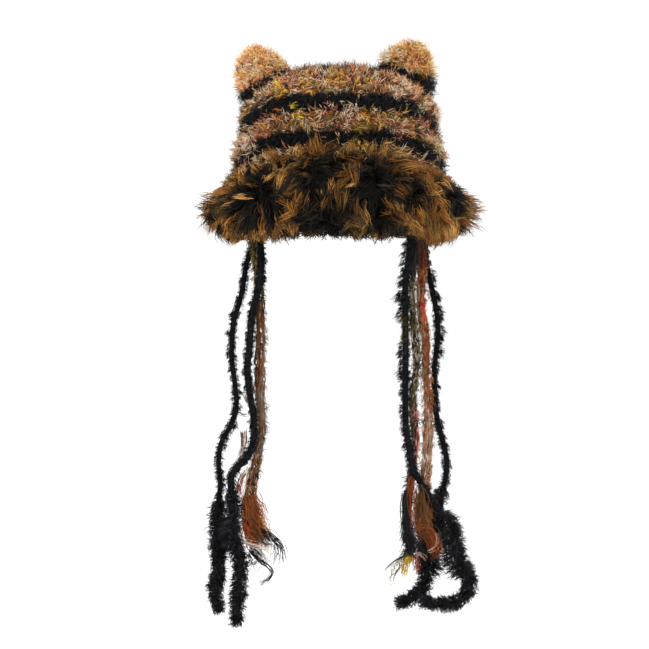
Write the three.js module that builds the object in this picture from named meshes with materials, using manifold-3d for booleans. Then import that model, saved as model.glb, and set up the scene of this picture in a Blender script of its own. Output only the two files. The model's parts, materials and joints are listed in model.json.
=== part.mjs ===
// A knitted hat with two cat ears, a deep brim of long pile and long yarn ties, in the shape it has on a head.
// Millimetres, +Z up. The front faces -Y and +X is on the right from the front.
// The origin is the inside top of the crown, where a head carries the hat.
import * as THREE from "three";
import { mergeVertices } from "three/addons/utils/BufferGeometryUtils.js";
import Module from "manifold-3d";

const wasm = await Module();
wasm.setup();

// Driving dimensions
const WALL = 5; // thick knitting, with its short pile pressed flat
const SEAM_GAP = 0.3; // between pieces that are sewn or knotted together
const END_GAP = 0.9; // between a cord's end and its tuft, at the middle of the slanted faces
const WAY_IN = 30; // how far below the rim the way in stays clear
const RIM_Z = -139; // the rim at the front, below the inside top
const RIM_HALF_WIDTH = 84;
const RIM_HALF_DEPTH = 102;
const AROUND = 36; // sides of the crown and the brim
const EAR_SIDES = 16;
const TIE_SIDES = 8;
const CORD_DIAMETER = 5; // furry black cord, with its core and flattened pile
const YARNS_DIAMETER = 8; // a loose bundle of a dozen thin yarns
const TUFT_RADIUS = 7.5; // the fluffy last stretch of a black cord

const BLACK = new THREE.MeshStandardMaterial({ color: 0x1b1a1c, roughness: 0.95, metalness: 0 });
const MOTTLED = new THREE.MeshStandardMaterial({ color: 0xb9793c, roughness: 0.95, metalness: 0 });
const TAN = new THREE.MeshStandardMaterial({ color: 0x7d5526, roughness: 0.95, metalness: 0 });
const ORANGE = new THREE.MeshStandardMaterial({ color: 0xa9562a, roughness: 0.95, metalness: 0 });

// The crown's outer wall, a row for each edge between two bands of yarn, from the top seam to the rim.
// z and halfDepth are at the front and back, halfWidth is at the sides, and sideDrop is how much lower
// the same stitches lie there, because the head lifts the middle. proud is how far the band below swells.
const KNITTED_EDGES = [
  { edge: "top seam", z: 5, halfDepth: 0, halfWidth: 77, sideDrop: 25, proud: 1 },
  { edge: "crest", z: 4.2, halfDepth: 30, halfWidth: 80, sideDrop: 26, proud: 0 },
  { edge: "first mottled band", z: -0.5, halfDepth: 66, halfWidth: 83, sideDrop: 27, proud: 2.5 },
  { edge: "second black band", z: -17, halfDepth: 87, halfWidth: 86, sideDrop: 29, proud: 0 },
  { edge: "second mottled band", z: -33, halfDepth: 94.5, halfWidth: 89, sideDrop: 31, proud: 2.5 },
  { edge: "third black band", z: -50, halfDepth: 98.5, halfWidth: 91.5, sideDrop: 32, proud: 0 },
  { edge: "third mottled band", z: -65, halfDepth: 101, halfWidth: 92.5, sideDrop: 31, proud: 1.5 },
  { edge: "top of the brim", z: -76, halfDepth: 102.5, halfWidth: 92, sideDrop: 30, proud: 0 },
  { edge: "middle of the brim", z: -108, halfDepth: 104, halfWidth: 89, sideDrop: 19, proud: 0 },
  { edge: "rim", z: RIM_Z, halfDepth: RIM_HALF_DEPTH, halfWidth: RIM_HALF_WIDTH, sideDrop: 4, proud: 0 },
];
const BRIM_TOP = 7; // row of KNITTED_EDGES
const RIM = KNITTED_EDGES.length - 1;
const DROP_POWER = 2.8; // the stitches run level across the front and fall away near the sides

// Each ear, a row for each level from its root inside the crown to its tip.
const LEFT_EAR = [
  { z: -30, x: -64, halfWidth: 12, halfDepth: 9 },
  { z: -22, x: -68, halfWidth: 19, halfDepth: 14 },
  { z: -12, x: -69.5, halfWidth: 23, halfDepth: 17 },
  { z: 0, x: -69.5, halfWidth: 23.5, halfDepth: 16.5 },
  { z: 10, x: -70, halfWidth: 22, halfDepth: 15 },
  { z: 17, x: -73, halfWidth: 17.5, halfDepth: 12.5 },
  { z: 23, x: -74.5, halfWidth: 12, halfDepth: 9 },
  { z: 27, x: -77, halfWidth: 5, halfDepth: 4 },
];
const RIGHT_EAR = [
  { z: -29, x: 61, halfWidth: 12, halfDepth: 9 },
  { z: -21, x: 64, halfWidth: 19, halfDepth: 14 },
  { z: -10, x: 63, halfWidth: 23.5, halfDepth: 17 },
  { z: 2, x: 62.5, halfWidth: 23.5, halfDepth: 16.5 },
  { z: 13, x: 62.5, halfWidth: 22.5, halfDepth: 15 },
  { z: 21, x: 62.5, halfWidth: 20, halfDepth: 12.5 },
  { z: 27, x: 64, halfWidth: 15, halfDepth: 9 },
  { z: 31.5, x: 70, halfWidth: 6, halfDepth: 4.5 },
];

// The brim's knitted backing and packed pile, a row for each station of its cross-section. down goes from
// the top of the brim to the rim, below is how far under that level, and out is from the crown's wall, where
// what falls inside the wall is cut away. sideRise is how much higher the station lies at the sides.
const BRIM_SECTION = [
  { down: 0.0, below: 0, out: -2, sideRise: 0 },
  { down: 0.5, below: 0, out: -2, sideRise: 0 },
  { down: 1.0, below: 0, out: -2, sideRise: 0 },
  { down: 1.0, below: 6, out: -2, sideRise: 0 },
  { down: 1.0, below: 8, out: 8, sideRise: 0 },
  { down: 1.0, below: 4, out: 17, sideRise: 0 },
  { down: 0.84, below: 0, out: 25, sideRise: 0 },
  { down: 0.5, below: 0, out: 27, sideRise: 4 },
  { down: 0.2, below: 0, out: 21, sideRise: 7 },
  { down: 0.0, below: 0, out: 10, sideRise: 7 },
];
// Its locks, a row for each tier from the top. slope is how far a lock drops for each millimetre outwards,
// at the front and back. At the sides it is sideSlope, because the brim is less deep there and its locks
// stand out more, and they are shorter.
const BRIM_LOCKS = [
  { down: -0.02, below: 0, out: 0, count: 15, length: 33, width: 25, slope: 0.5, sideSlope: -0.1 },
  { down: 0.2, below: 0, out: 10, count: 17, length: 32, width: 25, slope: 1.0, sideSlope: 0.3 },
  { down: 0.5, below: 0, out: 16, count: 18, length: 30, width: 25, slope: 1.1, sideSlope: 0.6 },
  { down: 0.8, below: 0, out: 17, count: 18, length: 26, width: 24, slope: 1.3, sideSlope: 0.7 },
  { down: 0.95, below: 0, out: 11, count: 14, length: 15, width: 20, slope: 2, sideSlope: 1.1 },
];
const SIDE_LENGTH = 0.8;
// How unevenly the locks lie: a share of their spacing and of their length, in their slope, and aside.
const UNEVEN = { spacing: 0.35, size: 0.3, slope: 0.5, aside: 0.7 };

// The ties' routes, from the rim to the tip. tuft is where the fluffy end of a black cord starts, as a
// share of the length, and tassel is where a bundle of yarns opens into loose ends. lean is how far those
// ends point towards +X for each millimetre down, and fan is how far they spread to each side.
const TIES = [
  {
    name: "tie_left_cord_outer", diameter: CORD_DIAMETER, material: BLACK, tuft: 0.71,
    route: [
      [-79.5, -11, -143.3], [-80.3, -12, -157], [-85, -14, -172], [-88.3, -16, -193], [-91.5, -18, -207],
      [-96.6, -20, -224], [-98.4, -22, -247], [-98, -23, -262], [-95.2, -24, -283], [-94.2, -24, -303],
      [-99, -24, -319], [-107, -25, -333], [-110.4, -26, -352], [-108.8, -27, -373], [-111, -28, -394],
      [-112, -29, -410], [-110.6, -30, -432], [-110.4, -31, -454], [-113, -32, -470], [-109.5, -33, -490],
    ],
  },
  {
    name: "tie_left_cord_inner", diameter: CORD_DIAMETER + 1, material: BLACK, tuft: 0.67,
    route: [
      [-72.5, -41, -142.7], [-71.6, -42, -156], [-71, -43, -176], [-74, -44, -196], [-79.6, -45, -217],
      [-81.2, -46, -240], [-83.5, -46, -267], [-81.5, -46, -290], [-78, -46, -312], [-78, -46, -330],
      [-82, -46, -345], [-92, -46, -356], [-98.6, -46, -366], [-97.5, -46, -388], [-97.8, -46, -410],
      [-95, -46, -428], [-90, -46, -443], [-91, -46, -460], [-92.6, -46, -480], [-94.5, -45, -500],
    ],
  },
  {
    name: "tie_left_yarns", diameter: YARNS_DIAMETER, material: ORANGE, tassel: 0.9,
    lean: 0.45, fan: 0.35,
    route: [
      [-76.5, -26, -143.2], [-76, -27, -158], [-75, -29, -176], [-73.5, -31, -196], [-72, -32, -220],
      [-71.2, -33, -240], [-72.5, -34, -268], [-72.5, -34, -293], [-70.8, -34, -318], [-73.5, -34, -338],
      [-77, -34, -356], [-81, -34, -378], [-82.5, -34, -394], [-80.5, -34, -410],
    ],
  },
  {
    name: "tie_right_cord_inner", diameter: CORD_DIAMETER + 1, material: BLACK, tuft: 0.68,
    route: [
      [65, -56.5, -142], [64.6, -57, -156], [62.5, -58, -172], [60.2, -58, -195], [60.4, -58, -220],
      [60.6, -57, -245], [60.4, -56, -270], [60.4, -55, -295], [60.8, -54, -318], [64, -53, -340],
      [67.5, -52, -358], [77, -51, -375], [90, -49, -395], [101, -47, -407], [106, -46, -424],
      [106.5, -44, -438], [114, -43, -449], [119.6, -42, -462], [116.5, -42, -477], [106, -42, -484.5],
      [94, -42, -485.5], [84, -42, -482],
    ],
  },
  {
    name: "tie_right_cord_outer", diameter: CORD_DIAMETER, material: BLACK, tuft: 0.66,
    route: [
      [79, -19.5, -143.2], [79.2, -20, -158], [81.5, -21, -178], [86, -22, -198], [90, -23, -220],
      [90.4, -24, -242], [87.4, -25, -266], [87.8, -26, -290], [90, -26, -314], [95.6, -26, -336],
      [98.8, -26, -354], [96.5, -25, -373], [90.5, -24, -390], [82, -24, -408], [79.2, -24, -426],
      [81.8, -24, -442], [80, -25, -458], [76, -26, -470], [67, -27, -479], [53.6, -28, -482],
    ],
  },
  {
    name: "tie_right_yarns_orange", diameter: YARNS_DIAMETER, material: ORANGE, tassel: 0.88,
    lean: 0.08, fan: 0.16,
    route: [
      [75, -32, -143], [75, -33, -160], [75.6, -34, -185], [75.2, -35, -210], [77.8, -36, -235],
      [79, -37, -262], [80.4, -37, -292], [81.2, -37, -318], [80.4, -37, -340], [79.2, -38, -362],
      [77.5, -42, -380], [77, -46, -398], [78, -50, -412],
    ],
  },
  {
    name: "tie_right_yarns_mottled", diameter: YARNS_DIAMETER - 2, material: MOTTLED, tassel: 0.92,
    lean: -0.45, fan: 0.3,
    route: [
      [70, -45.5, -142.3], [68.6, -46, -160], [67.4, -46, -185], [66.6, -46, -212], [68.8, -46, -235],
      [70.6, -46, -262], [68, -46, -288], [68.4, -45, -314], [69.4, -44, -340], [68.4, -44, -366],
      [67.6, -45, -390], [65.5, -47, -412], [62, -48, -436],
    ],
  },
];
const STEP = 20; // mm between the sections of a cord's tube

// A tuft's radius along its own length.
const TUFT_SECTION = [
  { along: 0, radius: 0.45 },
  { along: 0.12, radius: 0.85 },
  { along: 0.3, radius: 1 },
  { along: 0.55, radius: 0.92 },
  { along: 0.8, radius: 1 },
  { along: 0.94, radius: 0.75 },
  { along: 1, radius: 0.3 },
];
const TUFT_LOCKS = { rows: 4, perRow: 2, length: 18, width: 11, slope: 0.7 };
// A tassel's loose ends, which are up to length long and spread forwards and back by depth, from a head
// that widens by flare.
const TASSEL = { strips: 8, length: 52, shortest: 0.65, width: 6, depth: 0.3, flare: 0.5 };
const BRIM_SEED = 11;
const TIE_SEED = 31;

const UP = new THREE.Vector3(0, 0, 1);

// A repeatable run of numbers from 0 to 1, from the multiplicative generator of Lehmer.
const LEHMER_FACTOR = 16807;
const LEHMER_PRIME = 2147483647;
function numbersFrom(seed) {
  let state = seed;
  return () => {
    state = (state * LEHMER_FACTOR) % LEHMER_PRIME;
    return state / LEHMER_PRIME;
  };
}

// A value from a table's column at a place between rows, on a smooth curve through the rows.
function smoothValue(rows, column, place) {
  const i = Math.min(Math.floor(place), rows.length - 2);
  const t = place - i;
  const at = (k) => rows[THREE.MathUtils.clamp(k, 0, rows.length - 1)][column];
  const slopeIn = i === 0 ? at(1) - at(0) : (at(i + 1) - at(i - 1)) / 2;
  const slopeOut = i === rows.length - 2 ? at(i + 1) - at(i) : (at(i + 2) - at(i)) / 2;
  const rise = at(i + 1) - at(i);
  return at(i) + t * (slopeIn + t * (3 * rise - 2 * slopeIn - slopeOut + t * (slopeIn + slopeOut - 2 * rise)));
}

// A closed surface through rings of points, each with the same number. A ring on one line needs no cap,
// and a last ring that meets the first makes a hoop.
function skin(rings, { caps = true, hoop = false } = {}) {
  const count = rings[0].length;
  const points = rings.flat();
  const faces = [];
  const spans = hoop ? rings.length : rings.length - 1;
  for (let r = 0; r < spans; r++) {
    const next = (r + 1) % rings.length;
    for (let i = 0; i < count; i++) {
      const j = (i + 1) % count;
      faces.push(r * count + i, r * count + j, next * count + j);
      faces.push(r * count + i, next * count + j, next * count + i);
    }
  }
  if (caps && !hoop) {
    const last = (rings.length - 1) * count;
    for (let i = 1; i < count - 1; i++) {
      faces.push(0, i + 1, i);
      faces.push(last, last + i, last + i + 1);
    }
  }
  const geometry = new THREE.BufferGeometry().setFromPoints(points);
  geometry.setIndex(faces);
  return geometry;
}

// A closed mesh as a solid for joining and cutting, with its faces out and its shared points merged.
function solidFrom(geometry) {
  const bare = new THREE.BufferGeometry().setAttribute("position", geometry.getAttribute("position"));
  if (geometry.index) bare.setIndex(geometry.index);
  const merged = mergeVertices(bare, 1e-3);
  const corners = Array.from(merged.index.array);
  const triangles = [];
  for (let i = 0; i < corners.length; i += 3) {
    const [a, b, c] = corners.slice(i, i + 3);
    if (a !== b && b !== c && c !== a) triangles.push([a, b, c]);
  }
  const build = (list) =>
    new wasm.Manifold(
      new wasm.Mesh({
        numProp: 3,
        vertProperties: merged.attributes.position.array,
        triVerts: new Uint32Array(list.flat()),
      }),
    );
  const solid = build(triangles);
  return solid.volume() > 0 ? solid : build(triangles.map(([a, b, c]) => [a, c, b]));
}

function geometryFrom(solid) {
  const mesh = solid.getMesh();
  const geometry = new THREE.BufferGeometry();
  geometry.setAttribute("position", new THREE.BufferAttribute(mesh.vertProperties, 3));
  geometry.setIndex(new THREE.BufferAttribute(mesh.triVerts, 1));
  geometry.computeVertexNormals();
  return geometry;
}

function joined(solids) {
  return solids.reduce((whole, piece) => whole.add(piece));
}

// How far round towards the side a turn is: 0 at the front and back, and 1 at the sides.
function sideShare(turn) {
  return Math.abs(Math.sin(turn)) ** DROP_POWER;
}

// A point of the crown's outer wall. place is a row of KNITTED_EDGES or between two, turn goes round from
// the front towards +X, and out moves the point off the wall.
function crownPoint(place, turn, out = 0) {
  const row = Math.min(Math.floor(place), RIM - 1);
  const swell = KNITTED_EDGES[row].proud * Math.sin(Math.PI * (place - row));
  const drop = smoothValue(KNITTED_EDGES, "sideDrop", place) * sideShare(turn);
  const halfDepth = Math.max(0, smoothValue(KNITTED_EDGES, "halfDepth", place));
  const upwards = out * Math.max(0, 1 - halfDepth / RIM_HALF_DEPTH); // the crown's top faces up
  return new THREE.Vector3(
    (smoothValue(KNITTED_EDGES, "halfWidth", place) + swell + out) * Math.sin(turn),
    -(halfDepth + (halfDepth > 0 ? swell + out : 0)) * Math.cos(turn),
    smoothValue(KNITTED_EDGES, "z", place) + upwards - drop,
  );
}

// The same stitches on the inner wall: the outer wall drawn in towards the middle of the rim.
function innerPoint(place, turn) {
  const outer = crownPoint(place, turn);
  return new THREE.Vector3(
    outer.x * (1 - WALL / RIM_HALF_WIDTH),
    outer.y * (1 - WALL / RIM_HALF_DEPTH),
    RIM_Z + (outer.z - RIM_Z) * (RIM_Z / (RIM_Z - KNITTED_EDGES[0].z)),
  );
}

function ringAt(pointAt) {
  return Array.from({ length: AROUND }, (_, i) => pointAt((i / AROUND) * 2 * Math.PI));
}

// The knitted crown: a closed top seam, bands of yarn, and an open rim.
function crown() {
  const outerPlaces = Array.from({ length: 2 * RIM + 1 }, (_, k) => k / 2);
  const innerPlaces = Array.from({ length: RIM + 1 }, (_, k) => RIM - k);
  const rings = [
    ...outerPlaces.map((place) => ringAt((turn) => crownPoint(place, turn))),
    ...innerPlaces.map((place) => ringAt((turn) => innerPoint(place, turn))),
  ];
  return solidFrom(skin(rings, { caps: false }));
}

// The crown's outside and the way into it as a filled solid, a little larger, to cut what is sewn round it.
function crownBlank() {
  const places = Array.from({ length: 2 * RIM + 1 }, (_, k) => k / 2);
  const rings = places.map((place) => ringAt((turn) => crownPoint(place, turn, SEAM_GAP)));
  const floor = rings[rings.length - 1].map((point) => new THREE.Vector3(point.x, point.y, RIM_Z - WAY_IN));
  return solidFrom(skin([...rings, floor]));
}

// One ear: a knitted pad, sewn to the shoulder of the crown.
function ear(levels, blank) {
  const rings = [];
  for (const { x, z, halfWidth, halfDepth } of levels) {
    rings.push(
      Array.from({ length: EAR_SIDES }, (_, i) => {
        const turn = (i / EAR_SIDES) * 2 * Math.PI;
        return new THREE.Vector3(x + halfWidth * Math.cos(turn), halfDepth * Math.sin(turn), z);
      }),
    );
  }
  return solidFrom(skin(rings)).subtract(blank);
}

// A lock of pile: a four-sided horn, flat like a leaf, that leaves its root along a direction and droops.
const LOCK_STATIONS = [
  { along: 0, thick: 0.75 },
  { along: 0.45, thick: 1 },
  { along: 1, thick: 0 },
];
const LOCK_DROOP = 0.15;
const LOCK_FLATNESS = 0.45;
function lock({ root, direction, length, width }) {
  const side = new THREE.Vector3().crossVectors(direction, UP).normalize();
  const over = new THREE.Vector3().crossVectors(side, direction);
  const rings = LOCK_STATIONS.map(({ along, thick }) => {
    const centre = root
      .clone()
      .addScaledVector(direction, length * along)
      .addScaledVector(UP, -length * LOCK_DROOP * along * along);
    const across = side.clone().multiplyScalar((thick * width) / 2);
    const rise = over.clone().multiplyScalar((thick * width * LOCK_FLATNESS) / 2);
    return [
      centre.clone().add(across),
      centre.clone().add(rise),
      centre.clone().sub(across),
      centre.clone().sub(rise),
    ];
  });
  return solidFrom(skin(rings));
}

// A point of the brim off the crown's wall, and the way the wall faces there, seen from above.
function brimPoint({ down, below, out, sideRise = 0 }, turn) {
  const place = BRIM_TOP + down * (RIM - BRIM_TOP);
  const point = crownPoint(place, turn, out);
  point.z += sideRise * sideShare(turn) - below;
  return point;
}
function wallFaces(turn) {
  return new THREE.Vector3(Math.sin(turn) / RIM_HALF_WIDTH, -Math.cos(turn) / RIM_HALF_DEPTH, 0).normalize();
}

// The brim: a knitted hoop of packed pile with tiers of long locks.
function brim(blank) {
  const chance = numbersFrom(BRIM_SEED);
  const rings = Array.from({ length: AROUND }, (_, i) => {
    const turn = (i / AROUND) * 2 * Math.PI;
    return BRIM_SECTION.map((station) => brimPoint(station, turn));
  });
  const pieces = [solidFrom(skin(rings, { hoop: true }))];
  BRIM_LOCKS.forEach((tier, t) => {
    for (let i = 0; i < tier.count; i++) {
      const turn = ((i + 0.5 * (t % 2) + UNEVEN.spacing * (chance() - 0.5)) / tier.count) * 2 * Math.PI;
      const slope = THREE.MathUtils.lerp(tier.slope, tier.sideSlope, sideShare(turn));
      const length = tier.length * THREE.MathUtils.lerp(1, SIDE_LENGTH, sideShare(turn));
      const along = new THREE.Vector3(Math.cos(turn), Math.sin(turn), 0);
      const direction = wallFaces(turn).addScaledVector(UP, -slope + UNEVEN.slope * (chance() - 0.5));
      direction.addScaledVector(along, UNEVEN.aside * (chance() - 0.5));
      pieces.push(
        lock({
          root: brimPoint(tier, turn),
          direction: direction.normalize(),
          length: length * (1 + UNEVEN.size * (chance() - 0.5)),
          width: tier.width,
        }),
      );
    }
  });
  return joined(pieces).subtract(blank);
}

function curveThrough(route) {
  return new THREE.CatmullRomCurve3(route.map((point) => new THREE.Vector3(...point)), false, "centripetal");
}

function roundSection(radius) {
  return new THREE.Shape(
    Array.from({ length: TIE_SIDES }, (_, i) => {
      const turn = (i / TIE_SIDES) * 2 * Math.PI;
      return new THREE.Vector2(radius * Math.cos(turn), radius * Math.sin(turn));
    }),
  );
}

// The cord or bundle of yarns itself, as a plain tube up to where its tuft or tassel starts.
function tube({ route, diameter, tuft, tassel }) {
  const whole = curveThrough(route);
  const end = tuft ?? tassel;
  const steps = Math.round((whole.getLength() * end) / STEP);
  const points = Array.from({ length: steps + 1 }, (_, i) => whole.getPointAt((end * i) / steps));
  const extrudePath = new THREE.CatmullRomCurve3(points);
  const options = { steps, extrudePath, bevelEnabled: false, curveSegments: 1 };
  return solidFrom(new THREE.ExtrudeGeometry(roundSection(diameter / 2), options));
}

// The way out from a route that heads one way, at a turn round it, and a ring of points square to it.
function acrossAt(ahead, turn) {
  const side = new THREE.Vector3(0, 1, 0).cross(ahead).normalize();
  const over = new THREE.Vector3().crossVectors(ahead, side);
  return side.multiplyScalar(Math.cos(turn)).addScaledVector(over, Math.sin(turn));
}
function ringAcross(centre, ahead, radius) {
  return Array.from({ length: TIE_SIDES }, (_, i) =>
    centre.clone().addScaledVector(acrossAt(ahead, (i / TIE_SIDES) * 2 * Math.PI), radius),
  );
}

// The fluffy end of a black cord: a thick core of pile with short locks.
function tuft({ route, tuft: start }, seed) {
  const chance = numbersFrom(seed);
  const whole = curveThrough(route);
  const from = start + END_GAP / whole.getLength();
  const place = (along) => from + (1 - from) * along;
  const rings = [];
  for (let row = 0; row <= TUFT_SECTION.length - 1; row += 0.5) {
    const along = Math.min(1, place(smoothValue(TUFT_SECTION, "along", row)));
    const radius = TUFT_RADIUS * smoothValue(TUFT_SECTION, "radius", row);
    rings.push(ringAcross(whole.getPointAt(along), whole.getTangentAt(along), radius));
  }
  const pieces = [solidFrom(skin(rings))];
  for (let row = 0; row < TUFT_LOCKS.rows; row++) {
    for (let i = 0; i < TUFT_LOCKS.perRow; i++) {
      const along = place((row + 0.25 + 0.4 * chance()) / TUFT_LOCKS.rows);
      const ahead = whole.getTangentAt(along);
      const turn = ((i + 0.5 * (row % 2) + 0.3 * chance()) / TUFT_LOCKS.perRow) * 2 * Math.PI;
      const outwards = acrossAt(ahead, turn);
      const direction = outwards.clone().addScaledVector(ahead, 1 / TUFT_LOCKS.slope).normalize();
      const root = whole.getPointAt(along).addScaledVector(outwards, TUFT_RADIUS / 3);
      pieces.push(lock({ root, direction, length: TUFT_LOCKS.length, width: TUFT_LOCKS.width }));
    }
  }
  return joined(pieces);
}

// The loose ends of a bundle of yarns: strips that spread from its end.
function tassel({ route, tassel: start, diameter, lean, fan }, seed) {
  const chance = numbersFrom(seed);
  const whole = curveThrough(route);
  const from = start + END_GAP / whole.getLength();
  const place = (along) => from + (1 - from) * along;
  const rings = [0, 0.5, 1].map((along) => {
    const radius = (diameter / 2) * (1 + TASSEL.flare * along);
    return ringAcross(whole.getPointAt(place(along)), whole.getTangentAt(place(along)), radius);
  });
  const pieces = [solidFrom(skin(rings))];
  for (let i = 0; i < TASSEL.strips; i++) {
    const sideways = lean + fan * ((2 * i) / (TASSEL.strips - 1) - 1);
    const direction = new THREE.Vector3(sideways, TASSEL.depth * (chance() - 0.5), -1).normalize();
    const root = whole.getPointAt(place(0.7 + 0.2 * chance()));
    const length = TASSEL.length * THREE.MathUtils.lerp(TASSEL.shortest, 1, chance());
    pieces.push(lock({ root, direction, length, width: TASSEL.width }));
  }
  return joined(pieces);
}

// The hat put together
const hat = new THREE.Group();

function sewOn(name, solid, material) {
  const mesh = new THREE.Mesh(geometryFrom(solid), material);
  mesh.name = name;
  hat.add(mesh);
}

const blank = crownBlank();
sewOn("crown", crown(), MOTTLED);
sewOn("ear_left", ear(LEFT_EAR, blank), MOTTLED);
sewOn("ear_right", ear(RIGHT_EAR, blank), MOTTLED);
sewOn("fur_brim", brim(blank), TAN);
TIES.forEach((tie, i) => {
  sewOn(tie.name, tube(tie), tie.material);
  if (tie.tuft) sewOn(tie.name.replace("cord", "tuft"), tuft(tie, TIE_SEED + i), tie.material);
  if (tie.tassel) sewOn(tie.name.replace("yarns", "tassel"), tassel(tie, TIE_SEED + i), tie.material);
});

export default hat;
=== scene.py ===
# A knitted hat with two cat ears, a deep furry brim and long yarn ties, in the shape it has on a head.
# Metres, +Z up. The front faces -Y and +X is on the right from the front. The origin is the inside top of
# the crown, where a head carries the hat.
import json
import math

import bmesh
import bpy
import numpy as np
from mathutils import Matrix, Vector
from mathutils.bvhtree import BVHTree

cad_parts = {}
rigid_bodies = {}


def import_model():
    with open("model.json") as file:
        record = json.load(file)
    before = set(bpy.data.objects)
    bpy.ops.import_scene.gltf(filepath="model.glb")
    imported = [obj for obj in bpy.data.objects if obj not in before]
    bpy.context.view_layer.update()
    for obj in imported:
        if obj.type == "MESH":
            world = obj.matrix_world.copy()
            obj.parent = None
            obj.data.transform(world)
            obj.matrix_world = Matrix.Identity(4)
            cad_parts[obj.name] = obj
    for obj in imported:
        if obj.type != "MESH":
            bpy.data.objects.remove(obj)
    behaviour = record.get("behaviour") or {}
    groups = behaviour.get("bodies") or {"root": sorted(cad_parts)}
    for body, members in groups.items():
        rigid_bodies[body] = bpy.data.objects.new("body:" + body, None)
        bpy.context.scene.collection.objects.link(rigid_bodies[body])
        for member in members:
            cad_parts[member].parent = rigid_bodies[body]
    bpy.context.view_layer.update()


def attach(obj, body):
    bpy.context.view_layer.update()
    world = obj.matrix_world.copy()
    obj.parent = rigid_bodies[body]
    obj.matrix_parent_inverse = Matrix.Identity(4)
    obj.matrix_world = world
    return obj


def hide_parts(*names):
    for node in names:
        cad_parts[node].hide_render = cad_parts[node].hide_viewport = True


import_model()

# The crown is one shell of thick knitting, worked in rounds of mottled and of black eyelash yarn. A seam from
# ear to ear closes it, so the rounds arch over the front and fall away at the sides. The brim hides the last
# rounds and the knitting there is plain.
EDGE_COLUMNS = ("z", "half_depth", "half_width", "side_drop", "proud")
KNITTED_EDGES = {
    "top seam": (0.005, 0.0, 0.077, 0.025, 0.001),
    "crest": (0.0042, 0.030, 0.080, 0.026, 0.0),
    "first mottled band": (-0.0005, 0.066, 0.083, 0.027, 0.0025),
    "second black band": (-0.017, 0.087, 0.086, 0.029, 0.0),
    "second mottled band": (-0.033, 0.0945, 0.089, 0.031, 0.0025),
    "third black band": (-0.050, 0.0985, 0.0915, 0.032, 0.0),
    "third mottled band": (-0.065, 0.101, 0.0925, 0.031, 0.0015),
    "top of the brim": (-0.076, 0.1025, 0.092, 0.030, 0.0),
    "middle of the brim": (-0.108, 0.104, 0.089, 0.019, 0.0),
    "rim": (-0.139, 0.102, 0.084, 0.004, 0.0),
}
BRIM_TOP = 7
RIM = 9
DROP_POWER = 2.8
KNIT_THICK = 0.0042
KNIT_INSET = 0.0005
SIDES_ROUND = 96
COURSE_STEPS = 60
COURSES = 20
STITCHES_ROUND = 84
COURSE_RIDGE = 0.0005

# The height where each colour starts, at the front, the far left and the far right. The top is mottled.
BAND_COLUMNS = ("front", "left", "right")
BANDS = {
    "first black": (0.0042, -0.014, -0.003),
    "first mottled": (-0.0005, -0.036, -0.026),
    "second black": (-0.017, -0.041, -0.042),
    "second mottled": (-0.033, -0.0566, -0.056),
    "third black": (-0.050, -0.080, -0.077),
    "gold": (-0.065, -0.095, -0.092),
}
BAND_POWER = 5  # the bands stay level over the front and fall close to the sides
GOLD_BAND = 6
BAND_LIGHT = np.array([0.6, 0.68, 1.03, 1, 0.85, 1, 0.9])  # how light each band's yarn is, from the top
BLACK_YARN = ("#0a090b", "#0d0c0e", "#121114", "#070708")
MOTTLED_YARN = (
    "#e0a878", "#cf8c4e", "#d8742c", "#cf9330", "#e0ae42", "#de9070", "#b8552a", "#eec9a0", "#a87342",
)
MOTTLED_SHARES = (0.2, 0.16, 0.14, 0.1, 0.08, 0.11, 0.06, 0.11, 0.04)
GOLD_YARN = ("#c8924a", "#b5803a", "#dcb070", "#99692f", "#c8703c", "#e6c596")
CREAM = "#f8e2c0"
# Dark browns: on the crest the yarn's own dark curls, elsewhere painted shade in the gaps of the pile.
SHADE_AND_DARK_CURLS = ("#1a110c", "#2a1c12", "#120d0c", "#33261a")
STRETCHES_ROUND = 34  # a stretch of the mottled yarn keeps one colour for about 18 mm
ROUND_HEIGHT = 0.005
ROUNDS = 40
ROUND_SHIFT = 0.37  # how far each round's stretches start past the last one's, in stretches
ROUND_DROP_ROW = 3  # the rounds fall at the sides as this row of the table does
OTHER_COLOUR = 0.45  # the share of places with another colour than their stretch's
# Painted shade: the knitting's own colour is darkened to this share, for the shade that its pile casts on it.
KNIT_SHADE = 0.2  # the knitting is this light below its pile
WELD = 2e-5


def columns_of(names, rows):
    """A table's columns by name, as arrays."""
    return dict(zip(names, np.array(list(rows), dtype=float).T))


def between_rows(column, place):
    """A column's value at places between its rows, on a smooth curve through them."""
    slope = np.gradient(column)
    i = np.clip(np.floor(place).astype(int), 0, len(column) - 2)
    t = place - i
    rise = column[i + 1] - column[i]
    bend = slope[i] + slope[i + 1] - 2 * rise
    return column[i] + t * (slope[i] + t * (rise - slope[i] - bend + t * bend))


edges = columns_of(EDGE_COLUMNS, KNITTED_EDGES.values())
bands = columns_of(BAND_COLUMNS, BANDS.values())


def side_share(turn):
    """How far round towards a side a turn is: 0 at the front and back, 1 at the sides."""
    return np.abs(np.sin(turn)) ** DROP_POWER


def crown_point(place, turn, out=0.0):
    """Points of the crown's outer side, at a place down the table. turn goes from the front towards +X."""
    row = np.clip(np.floor(place), 0, RIM - 1).astype(int)
    swell = edges["proud"][row] * np.sin(np.pi * (place - row)) + out
    depth = np.maximum(between_rows(edges["half_depth"], place), 0)
    upwards = out * (1 - depth / edges["half_depth"][RIM]).clip(0)
    drop = between_rows(edges["side_drop"], place) * side_share(turn)
    x = (between_rows(edges["half_width"], place) + swell) * np.sin(turn)
    y = -(depth + np.where(depth > 0, swell, 0)) * np.cos(turn)
    return np.stack([x, y, between_rows(edges["z"], place) + upwards - drop], axis=-1)


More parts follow.
